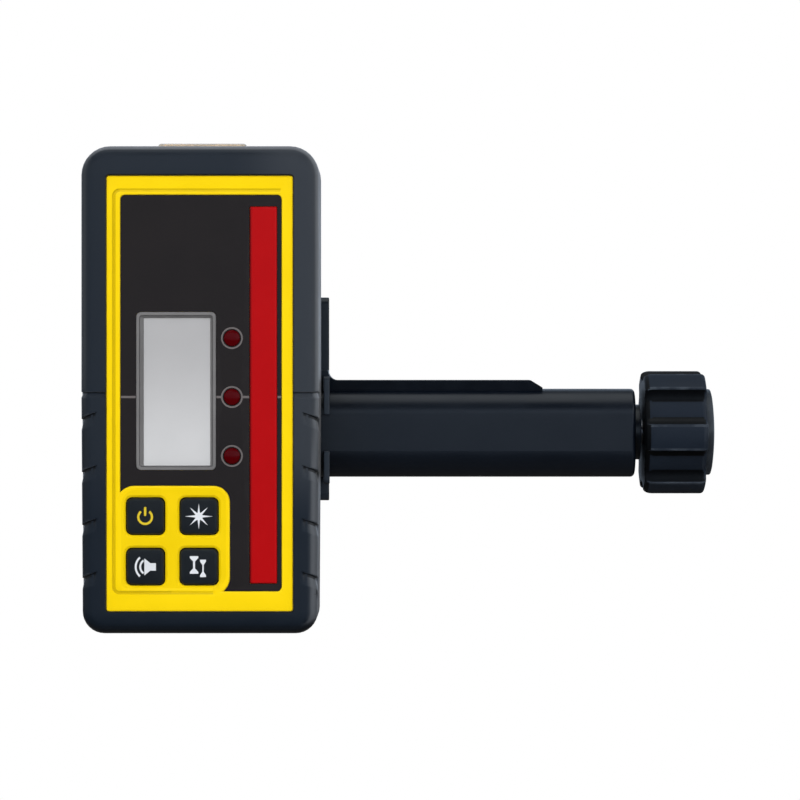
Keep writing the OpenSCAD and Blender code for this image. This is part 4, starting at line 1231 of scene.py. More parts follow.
    def _rubbed(self, place: Vector, normal: Vector) -> float:
        """Give how far the jacket is lightened by painted highlight at a point of its lip or its front edge, more to
        the right and towards the top.

        Args:
            place: the point.
            normal: its normal.

        Returns:
            The share of the pale colour.
        """
        b, e = self.box, self.edge_r + 0.4
        lip = 0.0
        if place.y < b.y0 + 1.0:
            faint, strong = self.lip_rub
            lip = faint + (strong - faint) * ramp(place.x, 10.0, 29.0)
            lip *= ramp(place.z, -38.0, -15.0) * ramp(-normal.y, 0.05, 0.3)
        out = math.hypot(normal.x, normal.z)
        if out < 0.05 or max(abs(place.x) - b.x1 + e, place.z - b.z1 + e, b.z0 + e - place.z) < 0:
            return lip
        high = ramp(place.z, -25.0, 5.0)
        faint, strong = self.right_rub
        right = high * strong * ramp(out, 0.5, 0.97) + (1 - high) * faint * ramp(out, 0.2, 0.6)
        left = self.left_rub * ramp(place.z, -15.0, 15.0) * ramp(out, 0.3, 0.75)
        top = self.top_rub * ramp(out, 0.6, 0.82)
        across, up = normal.x / out, max(normal.z, 0.0) / out
        rim = (right if across > 0 else left) * across ** 2 + top * up ** 2
        return max(lip, rim * (1 - ramp(place.y, b.y0 + e, b.y0 + e + 3.0)) * ramp(-normal.z, 0.55, 0.25))

    def _in_opening(self, point: Vector, cradle: Box) -> bool:
        """Tell whether a face of the top lies over the vial's cradle."""
        gap = self.vial_gap
        return (point.z > self.box.z1 - 2 * self.wall and cradle.x0 - gap < point.x < cradle.x1 + gap
                and cradle.y0 - gap < point.y < cradle.y1 + gap)


@dataclass
class Keypad:
    """Four buttons on the yellow land, each with a printed sign."""

    nodes: tuple[str, ...] = ("power_button", "light_button", "sound_button", "accuracy_button")
    flange: float = 0.78
    opening_gap: float = 0.3
    corner_r: float = 1.9
    edge_r: float = 0.9
    crown: float = 0.22
    sign_proud: float = 0.03
    sign_t: float = 0.25
    tip_half: float = 0.4
    flange_y: float = 2.3
    flange_t: float = 1.0
    stem_y: float = 0.9
    stem_r: float = 1.5

    def openings(self, grow: float) -> list[Loop]:
        """Draw each button's opening in X and Z, grown by a distance."""
        inset = self.flange - self.opening_gap - grow
        return [Box.of(node).front(-inset, self.corner_r + grow) for node in self.nodes]

    def signs(self) -> dict[str, list[Loop]]:
        """Draw the sign of each button about its middle.

        Returns:
            The outlines by node.
        """
        gap = math.radians(38)
        ring = self._bow((0.0, -0.2), 2.45, 0.7, QUARTER + gap, math.tau - 2 * gap, 28)
        bar = round_rect(-0.36, 0.36, 0.1, 2.9, 0.3, 3)
        horn = [(3.3, -1.15), (3.3, 1.15), (1.6, 1.15), (-0.25, 2.6), (-0.25, -2.6), (1.6, -1.15)]
        waves = [self._bow((0.9, 0.0), r, 0.6, math.pi - half, 2 * half, 14)
                 for r, half in ((2.7, 0.95), (4.1, 0.86))]
        marks = [self._mark(-1.45, 1.3, 3.3, -2.1), self._mark(1.3, 0.9, 2.2, -3.1)]
        return dict(zip(self.nodes, ([ring, bar], [self._burst(4.3, 3.9)], [horn, *waves], marks)))

    @staticmethod
    def _bow(centre: Pair, r: float, width: float, start: float, turn: float, steps: int) -> Loop:
        """Draw part of a ring: its outer arc, then its inner one back."""
        return arc(centre, r, start, turn, steps) + arc(centre, r - width, start, turn, steps)[::-1]

    @staticmethod
    def _burst(long: float, short: float) -> Loop:
        """Draw eight rays as a sign for light, the level two longer than the rest."""
        hub, waist = 1.15, 0.36
        loop: Loop = []
        for k in range(8):
            a, tip = k * math.pi / 4, short if k % 4 else long
            loop += turned_by([(hub, -waist), (tip, 0.0), (hub, waist)], a)
        return loop

    @staticmethod
    def _mark(middle: float, half: float, top: float, bottom: float) -> Loop:
        """Draw a bar with a wide head and foot, as a sign for fine and coarse."""
        waist, step = half * 0.24, (top - bottom) * 0.3
        right = [(half, bottom), (half, bottom + step * 0.35), (waist, bottom + step), (waist, top - step),
                 (half, top - step * 0.35), (half, top)]
        return [(middle + x, z) for x, z in right] + [(middle - x, z) for x, z in reversed(right)]

    def build(self, shop: Workshop) -> None:
        """Make the buttons and their signs.

        Args:
            shop: the workshop.
        """
        signs = self.signs()
        for node in self.nodes:
            body = node.split("_")[0]
            self._cap(shop, node, body)
            box = Box.of(node)
            x, _, z = box.centre
            solid = Solid()
            for loop in signs[node]:
                placed = [(x + u, z + v) for u, v in loop]
                solid.plate(placed, [], at_y(box.y0 - self.sign_proud), at_y(box.y0 + self.sign_t))
            finish = Finishes.POWER_ICON if node == "power_button" else Finishes.ICON
            shop.make(node + "_sign", solid, finish, body, slot="button_rubber")

    def _cap(self, shop: Workshop, node: str, body: str) -> None:
        """Make one button with its flange and stem.

        Args:
            shop: the workshop.
            node: node that it stands for.
            body: body that it rides on.
        """
        box = Box.of(node)
        x, _, z = box.centre
        edge = self.flange + self.edge_r
        span = (box.z1 - box.z0) / 2 - edge - self.tip_half
        y_flange = Box.of("front_case").y0 + self.flange_y
        rows = [(0.0, y_flange + self.flange_t, self.corner_r), (0.0, y_flange, self.corner_r),
                (self.flange, y_flange, self.corner_r)]
        for k in range(6):
            a = QUARTER * k / 5
            rows.append((self.flange + self.edge_r * (1 - math.cos(a)),
                         box.y0 + self.crown + self.edge_r * (1 - math.sin(a)), self.corner_r))
        for share in (0.25, 0.5, 0.75):
            rows.append((edge + share * span, box.y0 + self.crown * (1 - share) ** 2, self.corner_r * (1 - share)))
        solid = Solid().closed(at_depths((box.front(-inset, r), y) for inset, y, r in rows))
        stem = circle((x, z), self.stem_r, 24)
        solid.closed(at_depths((stem, y) for y in (y_flange + self.stem_y, box.y1)))
        shop.make(node + "_cap", solid, Finishes.KEY, body, [node])


@dataclass
class FrontFace:
    """The yellow front case with its creased border and keypad land, and what is set in it."""

    keypad: Keypad
    outline: tuple[float, float, float, float] = (-28.6, 28.6, -65.75, 67.95)
    face_r: float = 0.8
    hem: float = 0.12
    shell_t: float = 2.0
    shell_r: float = 6.4
    shell_y: float = 1.1
    crease_in: float = 0.95
    crease_left: float = 1.5
    crease_low: Pair = (-0.1, 0.8)
    crease_end: tuple[float, float, float] = (18.0, 5.2, 4.3)
    crease_r: float = 1.2
    crease_w: float = 1.1
    crease_deep: float = 0.34
    crease_fade: float = 3.0
    crease_foot: float = 5.0
    ledge_deep: float = 0.06
    dish_deep: float = 0.14
    dish_in: float = 1.3
    dish_low: float = 0.9
    dish_top: float = 1.2
    dish_left: float = 0.2
    dish_r: tuple[float, float, float, float] = (4.0, 3.4, 4.6, 2.0)
    dish_dark: float = 0.28
    land_w: float = 33.65
    land_top: float = -27.3
    land_r: float = 5.0
    panel_gap: float = 0.1
    panel_r: float = 1.5
    rim_r: float = 0.5
    key_slope: float = 0.7
    land_bend: float = 5.8
    land_start: float = 4.4
    key_deep: float = 0.5
    wall_back: float = 2.2
    lamp_r: float = 2.5
    ring_in: float = 2.85
    ring_out: float = 3.35
    line_h: float = 0.7
    line_gap: float = 0.12
    print_t: float = 0.03
    well_gap: float = 0.1
    seat_in: float = 0.7
    film_gap: float = 0.05
    film_edge: float = 0.08
    window_r: float = 0.3

    def __post_init__(self) -> None:
        """Read the places of the pieces that are set in the face."""
        self.panel = Box.of("face_panel")
        self.window = Box.of("sensor_window")
        self.bezel = Box.of("lcd_bezel")
        self.case = Box.of("front_case")
        lamps = Box.of("indicator_lamps")
        self.lamp_x = lamps.centre[0]
        self.lamp_step = (lamps.z1 - lamps.z0) / 2 - (lamps.x1 - lamps.x0) / 2
        self.y_face = self.case.y0
        self.y_ledge = self.y_face + self.ledge_deep
        self.y_dish = self.y_ledge + self.dish_deep
        self.y_floor = self.panel.y1
        self.y_back = self.y_face + self.wall_back

    def panel_loop(self, grow: float) -> Loop:
        """Draw the opening for the panel, round the keypad land.

        Args:
            grow: distance outside the opening.

        Returns:
            The outline in X and Z.
        """
        g = self.panel_gap + grow
        x0, x1, z0, z1 = self.panel.x0 - g, self.panel.x1 + g, self.panel.z0 - g, self.panel.z1 + g
        land_x = self.panel.x0 - self.panel_gap + self.land_w - grow
        land_z = self.land_top - grow
        r, s, bend = self.panel_r + grow, self.land_r - grow, self.land_bend - grow
        sweep = math.asin((self.land_start + grow) / bend)
        left = arc((x0 + grow + self.land_start, land_z - bend), bend, QUARTER + sweep, -sweep, 8)
        right = arc((land_x - bend, z0 + grow + self.land_start), bend, 0.0, -sweep, 8)
        return filleted([(*right[-1], 0.0), (x1, z0, r), (x1, z1, r), (x0, z1, r), *((*p, 0.0) for p in left),
                         (land_x, land_z, s), *((*p, 0.0) for p in right[:-1])], 8)

    def lamp_loops(self, r: float) -> list[Loop]:
        """Draw a circle round each lamp."""
        return [circle((self.lamp_x, k * self.lamp_step), r, 32) for k in (-1, 0, 1)]

    def crease(self, grow: float) -> Loop:
        """Draw the inner edge of the crease round the panel, which steps up beside the keypad land.

        Args:
            grow: distance outside that edge.

        Returns:
            The outline in X and Z.
        """
        p, g, r = self.panel, self.crease_in + grow, self.crease_r + grow
        left = p.x0 - self.crease_left - grow
        beside, below = (p.z0 - down - grow for down in self.crease_low)
        fading, faded, stepped = (p.x0 + self.land_w - back for back in self.crease_end)
        return filleted([(p.x1 + g, below, r), (p.x1 + g, p.z1 + g, r), (left, p.z1 + g, r), (left, beside, r),
                         (fading, beside, 0.0), (faded, beside, 0.0), (stepped, below, 0.0)])

    def groove(self, grow: float) -> list[Point]:
        """Draw a line along the crease's floor, which rises where the crease fades out."""
        p = self.panel
        fading, faded, _ = (p.x0 + self.land_w - back for back in self.crease_end)
        ring: list[Point] = []
        for u, v in self.crease(grow):
            at_foot = v < p.z0 + self.crease_foot
            share = ramp(u, fading, faded) if at_foot else ramp(u, p.x1 - self.crease_fade, p.x1)
            lift = (self.crease_deep - self.ledge_deep / 2) * share
            ring.append((u, self.y_face + self.crease_deep - lift, v))
        return ring

    def dish(self, grow: float) -> Loop:
        """Draw the shallow dish round the buttons, grown by a distance."""
        p = self.panel
        left, right = p.x0 + self.dish_left - grow, p.x0 + self.land_w - self.dish_in + grow
        low, high = p.z0 + self.dish_low - grow, self.land_top - self.dish_top + grow
        places = ((right, low), (right, high), (left, high), (left, low))
        return filleted([(u, v, r + grow) for (u, v), r in zip(places, self.dish_r)])

    def build_case(self, shop: Workshop) -> None:
        """Make the yellow front case.

        Args:
            shop: the workshop.
        """
        x0, x1, z0, z1 = self.outline
        solid = Solid()

        def strip(*loops: tuple[Loop, float]) -> None:
            """Stretch a skin over outlines at their depths."""
            solid.skin(at_depths(loops))

        hem, wide = self.hem, self.crease_w
        outer = round_rect(x0 + hem, x1 - hem, z0 + hem, z1 - hem, self.face_r - hem)
        outer_side = round_rect(x0, x1, z0, z1, self.face_r)
        strip((outer, self.y_face), (outer_side, self.y_face + hem), (outer_side, self.y_back))
        solid.fill(outer, [self.crease(wide)], at_y(self.y_face))
        outside, inside = at_depths([(self.crease(wide), self.y_face), (self.crease(0.0), self.y_ledge)])
        solid.skin([outside, self.groove(wide * 0.58), self.groove(wide * 0.42), inside])
        rims = [(self.panel_loop(self.rim_r * (1 - math.sin(a))), self.y_ledge + self.rim_r * (1 - math.cos(a)) * 0.6)
                for a in (QUARTER * k / 4 for k in range(5))]
        floor, brim, dish = self.panel_loop(0.0), self.dish(wide * 0.6), self.dish(0.0)
        solid.fill(self.crease(0.0), [rims[0][0], brim], at_y(self.y_ledge))
        strip(*rims, (floor, self.y_floor))
        strip((brim, self.y_ledge), (dish, self.y_dish))
        slopes = self.keypad.openings(self.key_slope)
        keys = self.keypad.openings(0.0)
        solid.fill(dish, slopes, at_y(self.y_dish))
        for slope, key in zip(slopes, keys):
            strip((slope, self.y_dish), (key, self.y_dish + self.key_deep), (key, self.y_back))
        seats = [self.window.front(-self.seat_in, self.window_r), self.bezel.front(-self.seat_in, self.face_r),
                 *self.lamp_loops(self.lamp_r + self.panel_gap)]
        wells = self._wells(self.well_gap)
        solid.fill(floor, [*wells, *seats[2:]], at_y(self.y_floor))
        for well, seat in zip(wells, seats):
            strip((well, self.y_floor), (well, self.window.y1))
            solid.fill(well, [seat], at_y(self.window.y1))
            strip((seat, self.window.y1), (seat, self.y_back))
        for lamp in seats[2:]:
            strip((lamp, self.y_floor), (lamp, self.y_back))
        solid.fill(outer_side, [*seats, *keys], at_y(self.y_back))
        outside, inside = (self.case.front(-w, self.shell_r - w, 8) for w in (0.0, self.shell_t))
        y_shell, y_rear = self.y_face + self.shell_y, self.case.y1
        solid.skin(at_depths([(outside, y_shell), (outside, y_rear), (inside, y_rear), (inside, y_shell)]), joined=True)
        made = shop.make("yellow_face", solid, Finishes.YELLOW, Body.RECEIVER.value, ["front_case"])
        # Painted shade on the floor of the dish round the buttons.
        paint_shade(made, self.dish_dark, lambda middle, normal: abs(middle.y - self.y_dish) < 0.01 and normal.y < -0.9)

    def _wells(self, gap: float) -> list[Loop]:
        """Draw the openings that the window and the bezel sit in, a gap away from them."""
        return [self.window.front(gap, self.window_r), self.bezel.front(gap, self.panel_r)]

    def build_panel(self, shop: Workshop) -> None:
        """Make the panel film, the sensor window and the display with its bezel.

        Args:
            shop: the workshop.
        """
        body = Body.RECEIVER.value
        self._film(shop, body)
        w = self.window
        rows = ((0.0, w.y1), (0.0, w.y0 + 0.4), (0.12, w.y0 + 0.16), (0.34, w.y0 + 0.03), (0.6, w.y0))
        rings = at_depths((w.front(-inset, 0.35), y) for inset, y in rows)
        shop.make("red_window", Solid().closed(rings), Finishes.WINDOW, body, ["sensor_window"])
        self._bezel(shop, body)
        shop.dress("lcd_glass", Finishes.DISPLAY)
        self._lamps(shop, body)
        self._prints(shop, body)

    def _film(self, shop: Workshop, body: str) -> None:
        """Make the panel film, with a fine rounded edge and openings for the window, the display and the lamps."""
        y0, y1, e = self.panel.y0, self.panel.y1, self.film_edge
        holes = [*self._wells(self.film_gap), *self.lamp_loops(self.lamp_r + self.panel_gap)]
        outer, inner = self.panel_loop(-self.panel_gap), self.panel_loop(-self.panel_gap - e)
        solid = Solid()
        solid.fill(inner, holes, at_y(y0))
        solid.fill(outer, holes, at_y(y1))
        solid.skin(at_depths([(inner, y0), (outer, y0 + e), (outer, y1)]))
        for hole in holes:
            solid.skin(at_depths([(hole, y0), (hole, y1)]))
        shop.make("panel_sheet", solid, Finishes.FILM, body, ["face_panel"])

    def _bezel(self, shop: Workshop, body: str) -> None:
        """Make the display's bezel: a flat rim, a fine groove and a slope down to the glass."""
        b = self.bezel
        flat, groove, left, low, other = 0.95, 0.16, 2.25, 1.4, 1.8

        rows = [(0.0, b.y1, 1.5), (0.0, b.y0 + 0.25, 1.5), (0.08, b.y0 + 0.07, 1.45), (0.25, b.y0, 1.35),
                (flat, b.y0, 0.9), (flat + 0.04, b.y0 + 0.3, 0.85), (flat + groove, b.y0 + 0.3, 0.8),
                (flat + groove + 0.04, b.y0 + 0.1, 0.75)]
        loops = [(b.front(-inset, r), y) for inset, y, r in rows]
        glass = round_rect(b.x0 + left, b.x1 - other, b.z0 + low, b.z1 - other, 0.3)
        solid = Solid()
        solid.skin(at_depths([*loops, (glass, b.y1 - 0.12), (glass, b.y1)]), joined=True)
        shop.make("display_bezel", solid, Finishes.BEZEL, body, ["lcd_bezel"])

    def _lamps(self, shop: Workshop, body: str) -> None:
        """Make the three lamps as domed lenses, in a row."""
        box = Box.of("indicator_lamps")
        r, dome, shoulder = self.lamp_r, 0.5, box.y0 + 0.3
        profile = [(2.9, box.y1), (2.9, box.y1 - 1.0), (r, box.y1 - 1.0), (r, shoulder)]
        for k in range(1, 8):
            a = QUARTER * k / 8
            profile.append((r * math.cos(a), shoulder - dome * math.sin(a)))
        x, z = self.lamp_x, -self.lamp_step
        solid = Solid().turned(profile, lambda u, v, h: (x + u, h, z + v), 40)
        shop.row("lamps", solid, Finishes.LAMP, body, 3, self.lamp_step, ["indicator_lamps"])

    def _prints(self, shop: Workshop, body: str) -> None:
        """Print the rings round the lamps and the on-grade line across the panel."""
        y0, y1 = self.panel.y0 - self.print_t, self.panel.y0 + 0.1
        x, z = self.lamp_x, -self.lamp_step
        outer, inner = (circle((x, z), r) for r in (self.ring_out, self.ring_in))
        ring = Solid().plate(outer, [inner], at_y(y0), at_y(y1))
        shop.row("lamp_rings", ring, Finishes.PRINT, body, 3, self.lamp_step, slot="panel_film")
        gap, half = self.line_gap, self.line_h / 2
        spans = [(self.panel.x0 + gap, self.bezel.x0 - gap), (self.bezel.x1 + gap, x - self.ring_out),
                 (x + self.ring_out, self.window.x0 - gap), (self.window.x1 + gap, self.panel.x1 - gap)]
        solid = Solid()
        for u0, u1 in spans:
            solid.plate([(u0, -half), (u1, -half), (u1, half), (u0, half)], [], at_y(y0), at_y(y1))
        shop.make("on_grade_line", solid, Finishes.PRINT, body, slot="panel_film")


@dataclass
class Receiver:
    """The receiver's own pieces: jacket, front, back, door and level vial."""

    keypad: Keypad = field(default_factory=Keypad)
    sound_r: float = 8.0

    def build(self, shop: Workshop) -> None:
        """Make every piece of the receiver.

        Args:
            shop: the workshop.
        """
        body = Body.RECEIVER.value
        Jacket().build(shop)
        face = FrontFace(self.keypad)
        face.build_case(shop)
        face.build_panel(shop)
        self.keypad.build(shop)
        shop.soften("rear_case", "back_case", Finishes.CASE, body, 0.2, merge=False, weigh=self._off_sound_holes)
        shop.soften("battery_door", "battery_cover", Finishes.CASE, Body.DOOR.value, 0.2, merge=False)
        shop.soften("vial_cradle", "vial_bed", Finishes.CRADLE, body, 0.3, slot="yellow_plastic")
        self._vial(shop, body)

    def __post_init__(self) -> None:
        """Read the place of the sound holes."""
        self.sound_x, _, self.sound_z = Box.of("beeper").centre

    def _off_sound_holes(self, edge: BMEdge) -> float:
        """Pick the rear case's sharp edges, apart from the rims of the sound holes."""
        near = all(math.hypot(v.co.x / MM - self.sound_x, v.co.z / MM - self.sound_z) < self.sound_r
                   for v in edge.verts)
        return 1.0 if is_sharp(edge) and not near else 0.0

    def _vial(self, shop: Workshop, body: str) -> None:
        """Make the vial's clear tube, with rounded ends, and dress its liquid."""
        box = Box.of("level_vial")
        _, y, z = box.centre
        r = (box.z1 - box.z0) / 2
        profile = [(r - 1.2, box.x0), (r - 0.5, box.x0 + 0.15), (r - 0.12, box.x0 + 0.5), (r, box.x0 + 1.0)]
        profile += [(rr, box.x0 + box.x1 - x) for rr, x in reversed(profile)]
        solid = Solid().turned(profile, lambda u, v, h: (h, y + u, z + v), 72)
        shop.make("vial_tube", solid, Finishes.VIAL, body, ["level_vial"])
        shop.dress("vial_fluid", Finishes.LIQUID)


@dataclass
class ScrewHead:
    """A pan head with a cross recess and its shank, drawn facing up from the origin."""

    r: float
    head_t: float
    shank_r: float
    length: float
    edge: float = 0.35
    cross_w: float = 0.8
    cross_deep: float = 0.9

    def solid(self) -> Solid:
        """Draw the screw.

        Returns:
            The solid, its head's top at height zero.
        """
        half, arm = self.cross_w / 2, self.r * 0.62
        cross = [(arm, half), (half, half), (half, arm), (-half, arm), (-half, half), (-arm, half),
                 (-arm, -half), (-half, -half), (-half, -arm), (half, -arm), (half, -half), (arm, -half)]
        rows = [(self.r - self.edge, 0.0), (self.r - self.edge * 0.3, -self.edge * 0.3), (self.r, -self.edge),
                (self.r, -self.head_t), (self.shank_r, -self.head_t), (self.shank_r, -self.length)]
        loops = [(circle((0.0, 0.0), r, 32), h) for r, h in rows]
        solid = Solid()
        solid.fill(loops[0][0], [cross], at_z(0.0))
        solid.skin(at_heights([(cross, 0.0), (cross, -self.cross_deep)]))
        solid.fill(cross, [], at_z(-self.cross_deep))
        made = solid.skin(at_heights(loops))
        solid.bm.faces.new(made[-1])
        return solid

    def place(self, shop: Workshop, name: str, node: str, places: Sequence[Point], facing: Facing) -> None:
        """Put a screw at each place, to stand for a node's screws.

        Args:
            shop: the workshop.
            name: name of the piece.
            node: node that it stands for.
            places: middle of each head's top.
            facing: the way that the heads look.
        """
        mesh = bpy.data.meshes.new(name + "_places")
        mesh.from_pydata([tuple(c * MM for c in p) for p in places], [], [])
        points = linked(name + "_places", mesh)
        obj = Repeats.apply(linked(name, self.solid().mesh(name)), Repeats.scatter(), Places=points, Turn=facing.value,
                            Finish=Finishes.STEEL.material())
        bpy.data.objects.remove(points)
        shop.keep(obj, Finishes.STEEL, Body.RECEIVER.value, [node])


@dataclass
class RodClamp:
    """The clamp behind the receiver: beam, plate, jaws, knob and thumb screw."""

    beam_edge: float = 1.3
    knob_r: float = 20.2
    knob_lobes: int = 6
    knob_phase: float = 4.6
    flute_half: float = 17.4
    flute_floor: float = 2.7
    flute_crown: float = 0.25
    flute_deep: float = 3.2
    cap_rim: float = 2.8
    lip_r: float = 0.35
    knob_edge: float = 1.5
    knob_start: float = 0.5
    knob_round: Pair = (2.8, 1.5)
    cap_low: float = 0.6
    beam_drop: float = 0.4
    beam_y: Pair = (-25.0, 0.0)
    beam_z: Pair = (-25.5, 2.7)
    beam_round: Pair = (8.0, 3.0)
    jaw_y: Pair = (-3.0, 30.0)
    jaw_z: Pair = (-33.6, 32.5)
    jaw_t: float = 4.0
    jaw_draft: float = 1.0
    collar_x: Pair = (37.2, 39.2)
    collar_draft: float = 0.8
    collar_y: Pair = (-26.2, -1.0)
    collar_z: Pair = (-27.6, 6.7)
    hook_z: Pair = (-17.1, -5.7)
    tongue_y: Pair = (-21.5, -7.25)
    tongue_lean: float = 1.0
    tongue_top: float = 5.5
    tongue_slant: float = 4.0
    tongue_fillet: float = 3.2
    rib_pitch: float = 4.0
    rib_w: float = 2.4
    rib_h: float = 0.7
    rib_r: float = 0.3
    rib_clear: float = 4.8
    rib_inset: float = 1.0
    pad_r: float = 4.5
    jaw_gap: float = 0.33
    jaw_edge: float = 0.35
    jaw_r: Pair = (2.5, 6.0)
    jaw_rub: float = 0.35
    collar_r: tuple[float, float, float] = (1.4, 1.0, 1.6)
    hook_r: float = 0.45
    tongue_lift: float = 0.06
    tongue_steps: Pair = (-18.0, -19.0)
    tongue_rub: float = 0.7
    hub_r: float = 4.1
    case_screw_r: float = 2.6
    jaw_screw_r: float = 3.6

    def build(self, shop: Workshop) -> None:
        """Make every piece of the clamp.

        Args:
            shop: the workshop.
        """
        body = Body.RECEIVER.value
        self._beam(shop, body)
        shop.soften("mount_plate", "back_plate", Finishes.PLATE, body, 0.5)
        shop.soften("fixed_jaw", "rear_jaw", Finishes.CLAMP, body, 0.5, merge=False)
        shop.soften("end_bush", "neck_bush", Finishes.CLAMP, body, 0.2)
        self._jaw(shop, Body.JAW.value)
        self._tongue(shop, Body.JAW.value)
        self._pad(shop, "fixed_jaw_pad", "rear_pad", body, 1.0)
        self._pad(shop, "sliding_jaw_pad", "front_pad", Body.JAW.value, -1.0)
        self._screws(shop)
        self._knob(shop)
        shop.soften("thumb_screw_head", "thumb_grip", Finishes.CLAMP, Body.THUMB.value, 0.25)
        shop.soften("thumb_screw_washer", "thumb_washer", Finishes.STEEL, Body.CARRIAGE.value, 0.12)

    def _beam(self, shop: Workshop, body: str) -> None:
        """Round the beam's right end more than its other edges."""
        box = Box.of("clamp_beam")
        end = box.x1 * MM
        _, y, z = box.centre

        def weigh(edge: BMEdge) -> float:
            """Pick the sharp edges round the right end."""
            reach = min(math.hypot(v.co.y - y * MM, v.co.z - z * MM) for v in edge.verts)
            at_end = all(abs(v.co.x - end) < WELD * MM for v in edge.verts)
            return 1.0 if is_sharp(edge) and at_end and reach > 10 * MM else 0.0

        shop.soften("clamp_beam", "beam", Finishes.CLAMP, body, self.beam_edge, 4, weigh=weigh,
                    drop=lambda height: self.beam_drop * ramp(-height, 17.0, -box.z0))

    def _round_beam(self, gap: float) -> Loop:
        """Draw the way round the beam in Y and Z, from its front below to its front above, at a distance from it.

        Args:
            gap: distance from the beam.

        Returns:
            The points, open at the front.
        """
        (y0, y1), (z0, z1), (front, back) = self.beam_y, self.beam_z, self.beam_round
        path: Loop = []
        for u, v, r, turns, steps in ((y0 + front, z0 + front, front, 2, 10), (y1 - back, z0 + back, back, 3, 6),
                                      (y1 - back, z1 - back, back, 0, 6), (y0 + front, z1 - front, front, 1, 10)):
            path += arc((u, v), r + gap, turns * QUARTER, QUARTER, steps)
        return path

    def _jaw(self, shop: Workshop, body: str) -> None:
        """Make the sliding jaw's plate and the collar that hooks round the beam's front corners.

        Args:
            shop: the workshop.
            body: body that the jaw rides on.
        """
        x0 = Box.of("sliding_jaw").x0
        way = self._round_beam(self.jaw_gap)
        (y0, y1), (z0, z1) = self.jaw_y, self.jaw_z
        path = [p for p in way if p[0] >= y0 - 0.01]
        near, far = self.jaw_r
        outer = filleted([(y0, z0, near), (y1, z0, far), (y1, z1, far), (y0, z1, near), (y0, path[-1][1], 0.0),
                          *((u, v, 0.0) for u, v in reversed(path[1:-1])), (y0, path[0][1], 0.0)])
        solid = Solid().plate(outer, [], at_x(x0), self._drafted(x0 + self.jaw_t, self.jaw_draft, self.jaw_y))
        (y0, y1), (z0, z1), (low, high) = self.collar_y, self.collar_z, self.hook_z
        front = self.beam_y[0] - self.jaw_gap
        foot, rear, head = self.collar_r
        outer = filleted([(y0, z0, foot), (y1, z0, rear), (y1, z1, rear), (y0, z1, head), (y0, high, self.hook_r),
                          (front, high, 0.0), *((u, v, 0.0) for u, v in reversed(way)), (front, low, 0.0),
                          (y0, low, self.hook_r)])
        near, far = self.collar_x
        solid.plate(outer, [], at_x(near), self._drafted(far, self.collar_draft, self.collar_y))
        made = shop.make("front_jaw", solid, Finishes.CLAMP, body, ["sliding_jaw"], edge=self.jaw_edge)

        def lightened(place: Vector, normal: Vector) -> float:
            """Give how far the jaw's front is lightened by painted highlight, most on its collar and its foot."""
            low = self.jaw_rub + (1 - self.jaw_rub) * ramp(-place.z, 24.0, 27.0)
            return ramp(-normal.y, 0.3, 0.9) * (1.0 if place.y < self.jaw_y[0] - 0.5 else low)

        rub(made, lightened)

    @staticmethod
    def _drafted(x: float, draft: float, span: Pair) -> Place:
        """Give the map from Y and Z to a face that leans back from an X by a draft over a span of Y."""
        lean = draft / (span[1] - span[0])
        return lambda u, v: (x - lean * (u - span[0]), u, v)

    def _tongue(self, shop: Workshop, body: str) -> None:
        """Make the jaw's tongue: a low bar that follows the beam's top, with a slanted end and a fillet at the jaw.

        Args:
            shop: the workshop.
            body: body that the tongue rides on.
        """
        jaw = Box.of("sliding_jaw")
        (y0, y1), beam_top, front = self.tongue_y, self.beam_z[1], self.beam_round[0]
        lift, fillet = self.tongue_lift, self.tongue_fillet
        flat_x = jaw.x1 - self.tongue_slant
        foot: Loop = [(y1, beam_top + lift), (self.beam_y[0] + front, beam_top + lift)]
        for y in (*self.tongue_steps, y0 + self.tongue_lean):
            reach = self.beam_y[0] + front - y
            foot.append((y, beam_top - front + math.sqrt(front ** 2 - reach ** 2) + lift))
        inner = jaw.x0 + self.jaw_t
        ends = [(jaw.x0 + 0.1, self.tongue_top + fillet)]
        for k in range(9):
            a = QUARTER * k / 8
            ends.append((inner + fillet * (1 - math.cos(a)), self.tongue_top + fillet * (1 - math.sin(a))))
        ends += [(flat_x - 0.3, self.tongue_top), (flat_x + 0.3, self.tongue_top - 0.15),
                 (jaw.x1 - 0.15, beam_top + 0.45), (jaw.x1, beam_top + 0.2)]
        rings = []
        for x, top in ends:
            share = (top - beam_top) / (self.tongue_top - beam_top)
            soft = self.jaw_edge * min(share, 1.0)
            head = [(y0 + self.tongue_lean * max(0.0, 1 - share), top - soft), (y0 + soft * 0.3, top - soft * 0.3),
                    (y0 + soft, top), (y1 - soft, top), (y1 - soft * 0.3, top - soft * 0.3), (y1, top - soft)]
            rings.append([(x, u, max(v, beam_top + lift + 0.1 - 1.0 * (u < -17.5))) for u, v in foot + head])
        made = shop.make("jaw_tongue", Solid().closed(rings), Finishes.CLAMP, body)

        def lightened(place: Vector, normal: Vector) -> float:
            """Give how far the tongue's front is lightened by painted highlight, beside the collar."""
            near, far = self.collar_x
            beside = ramp(place.x, near - 0.8, near) * ramp(-place.x, -far - 0.4, 0.6 - far)
            return self.tongue_rub * ramp(-normal.y, 0.3, 0.9) * beside

        rub(made, lightened)

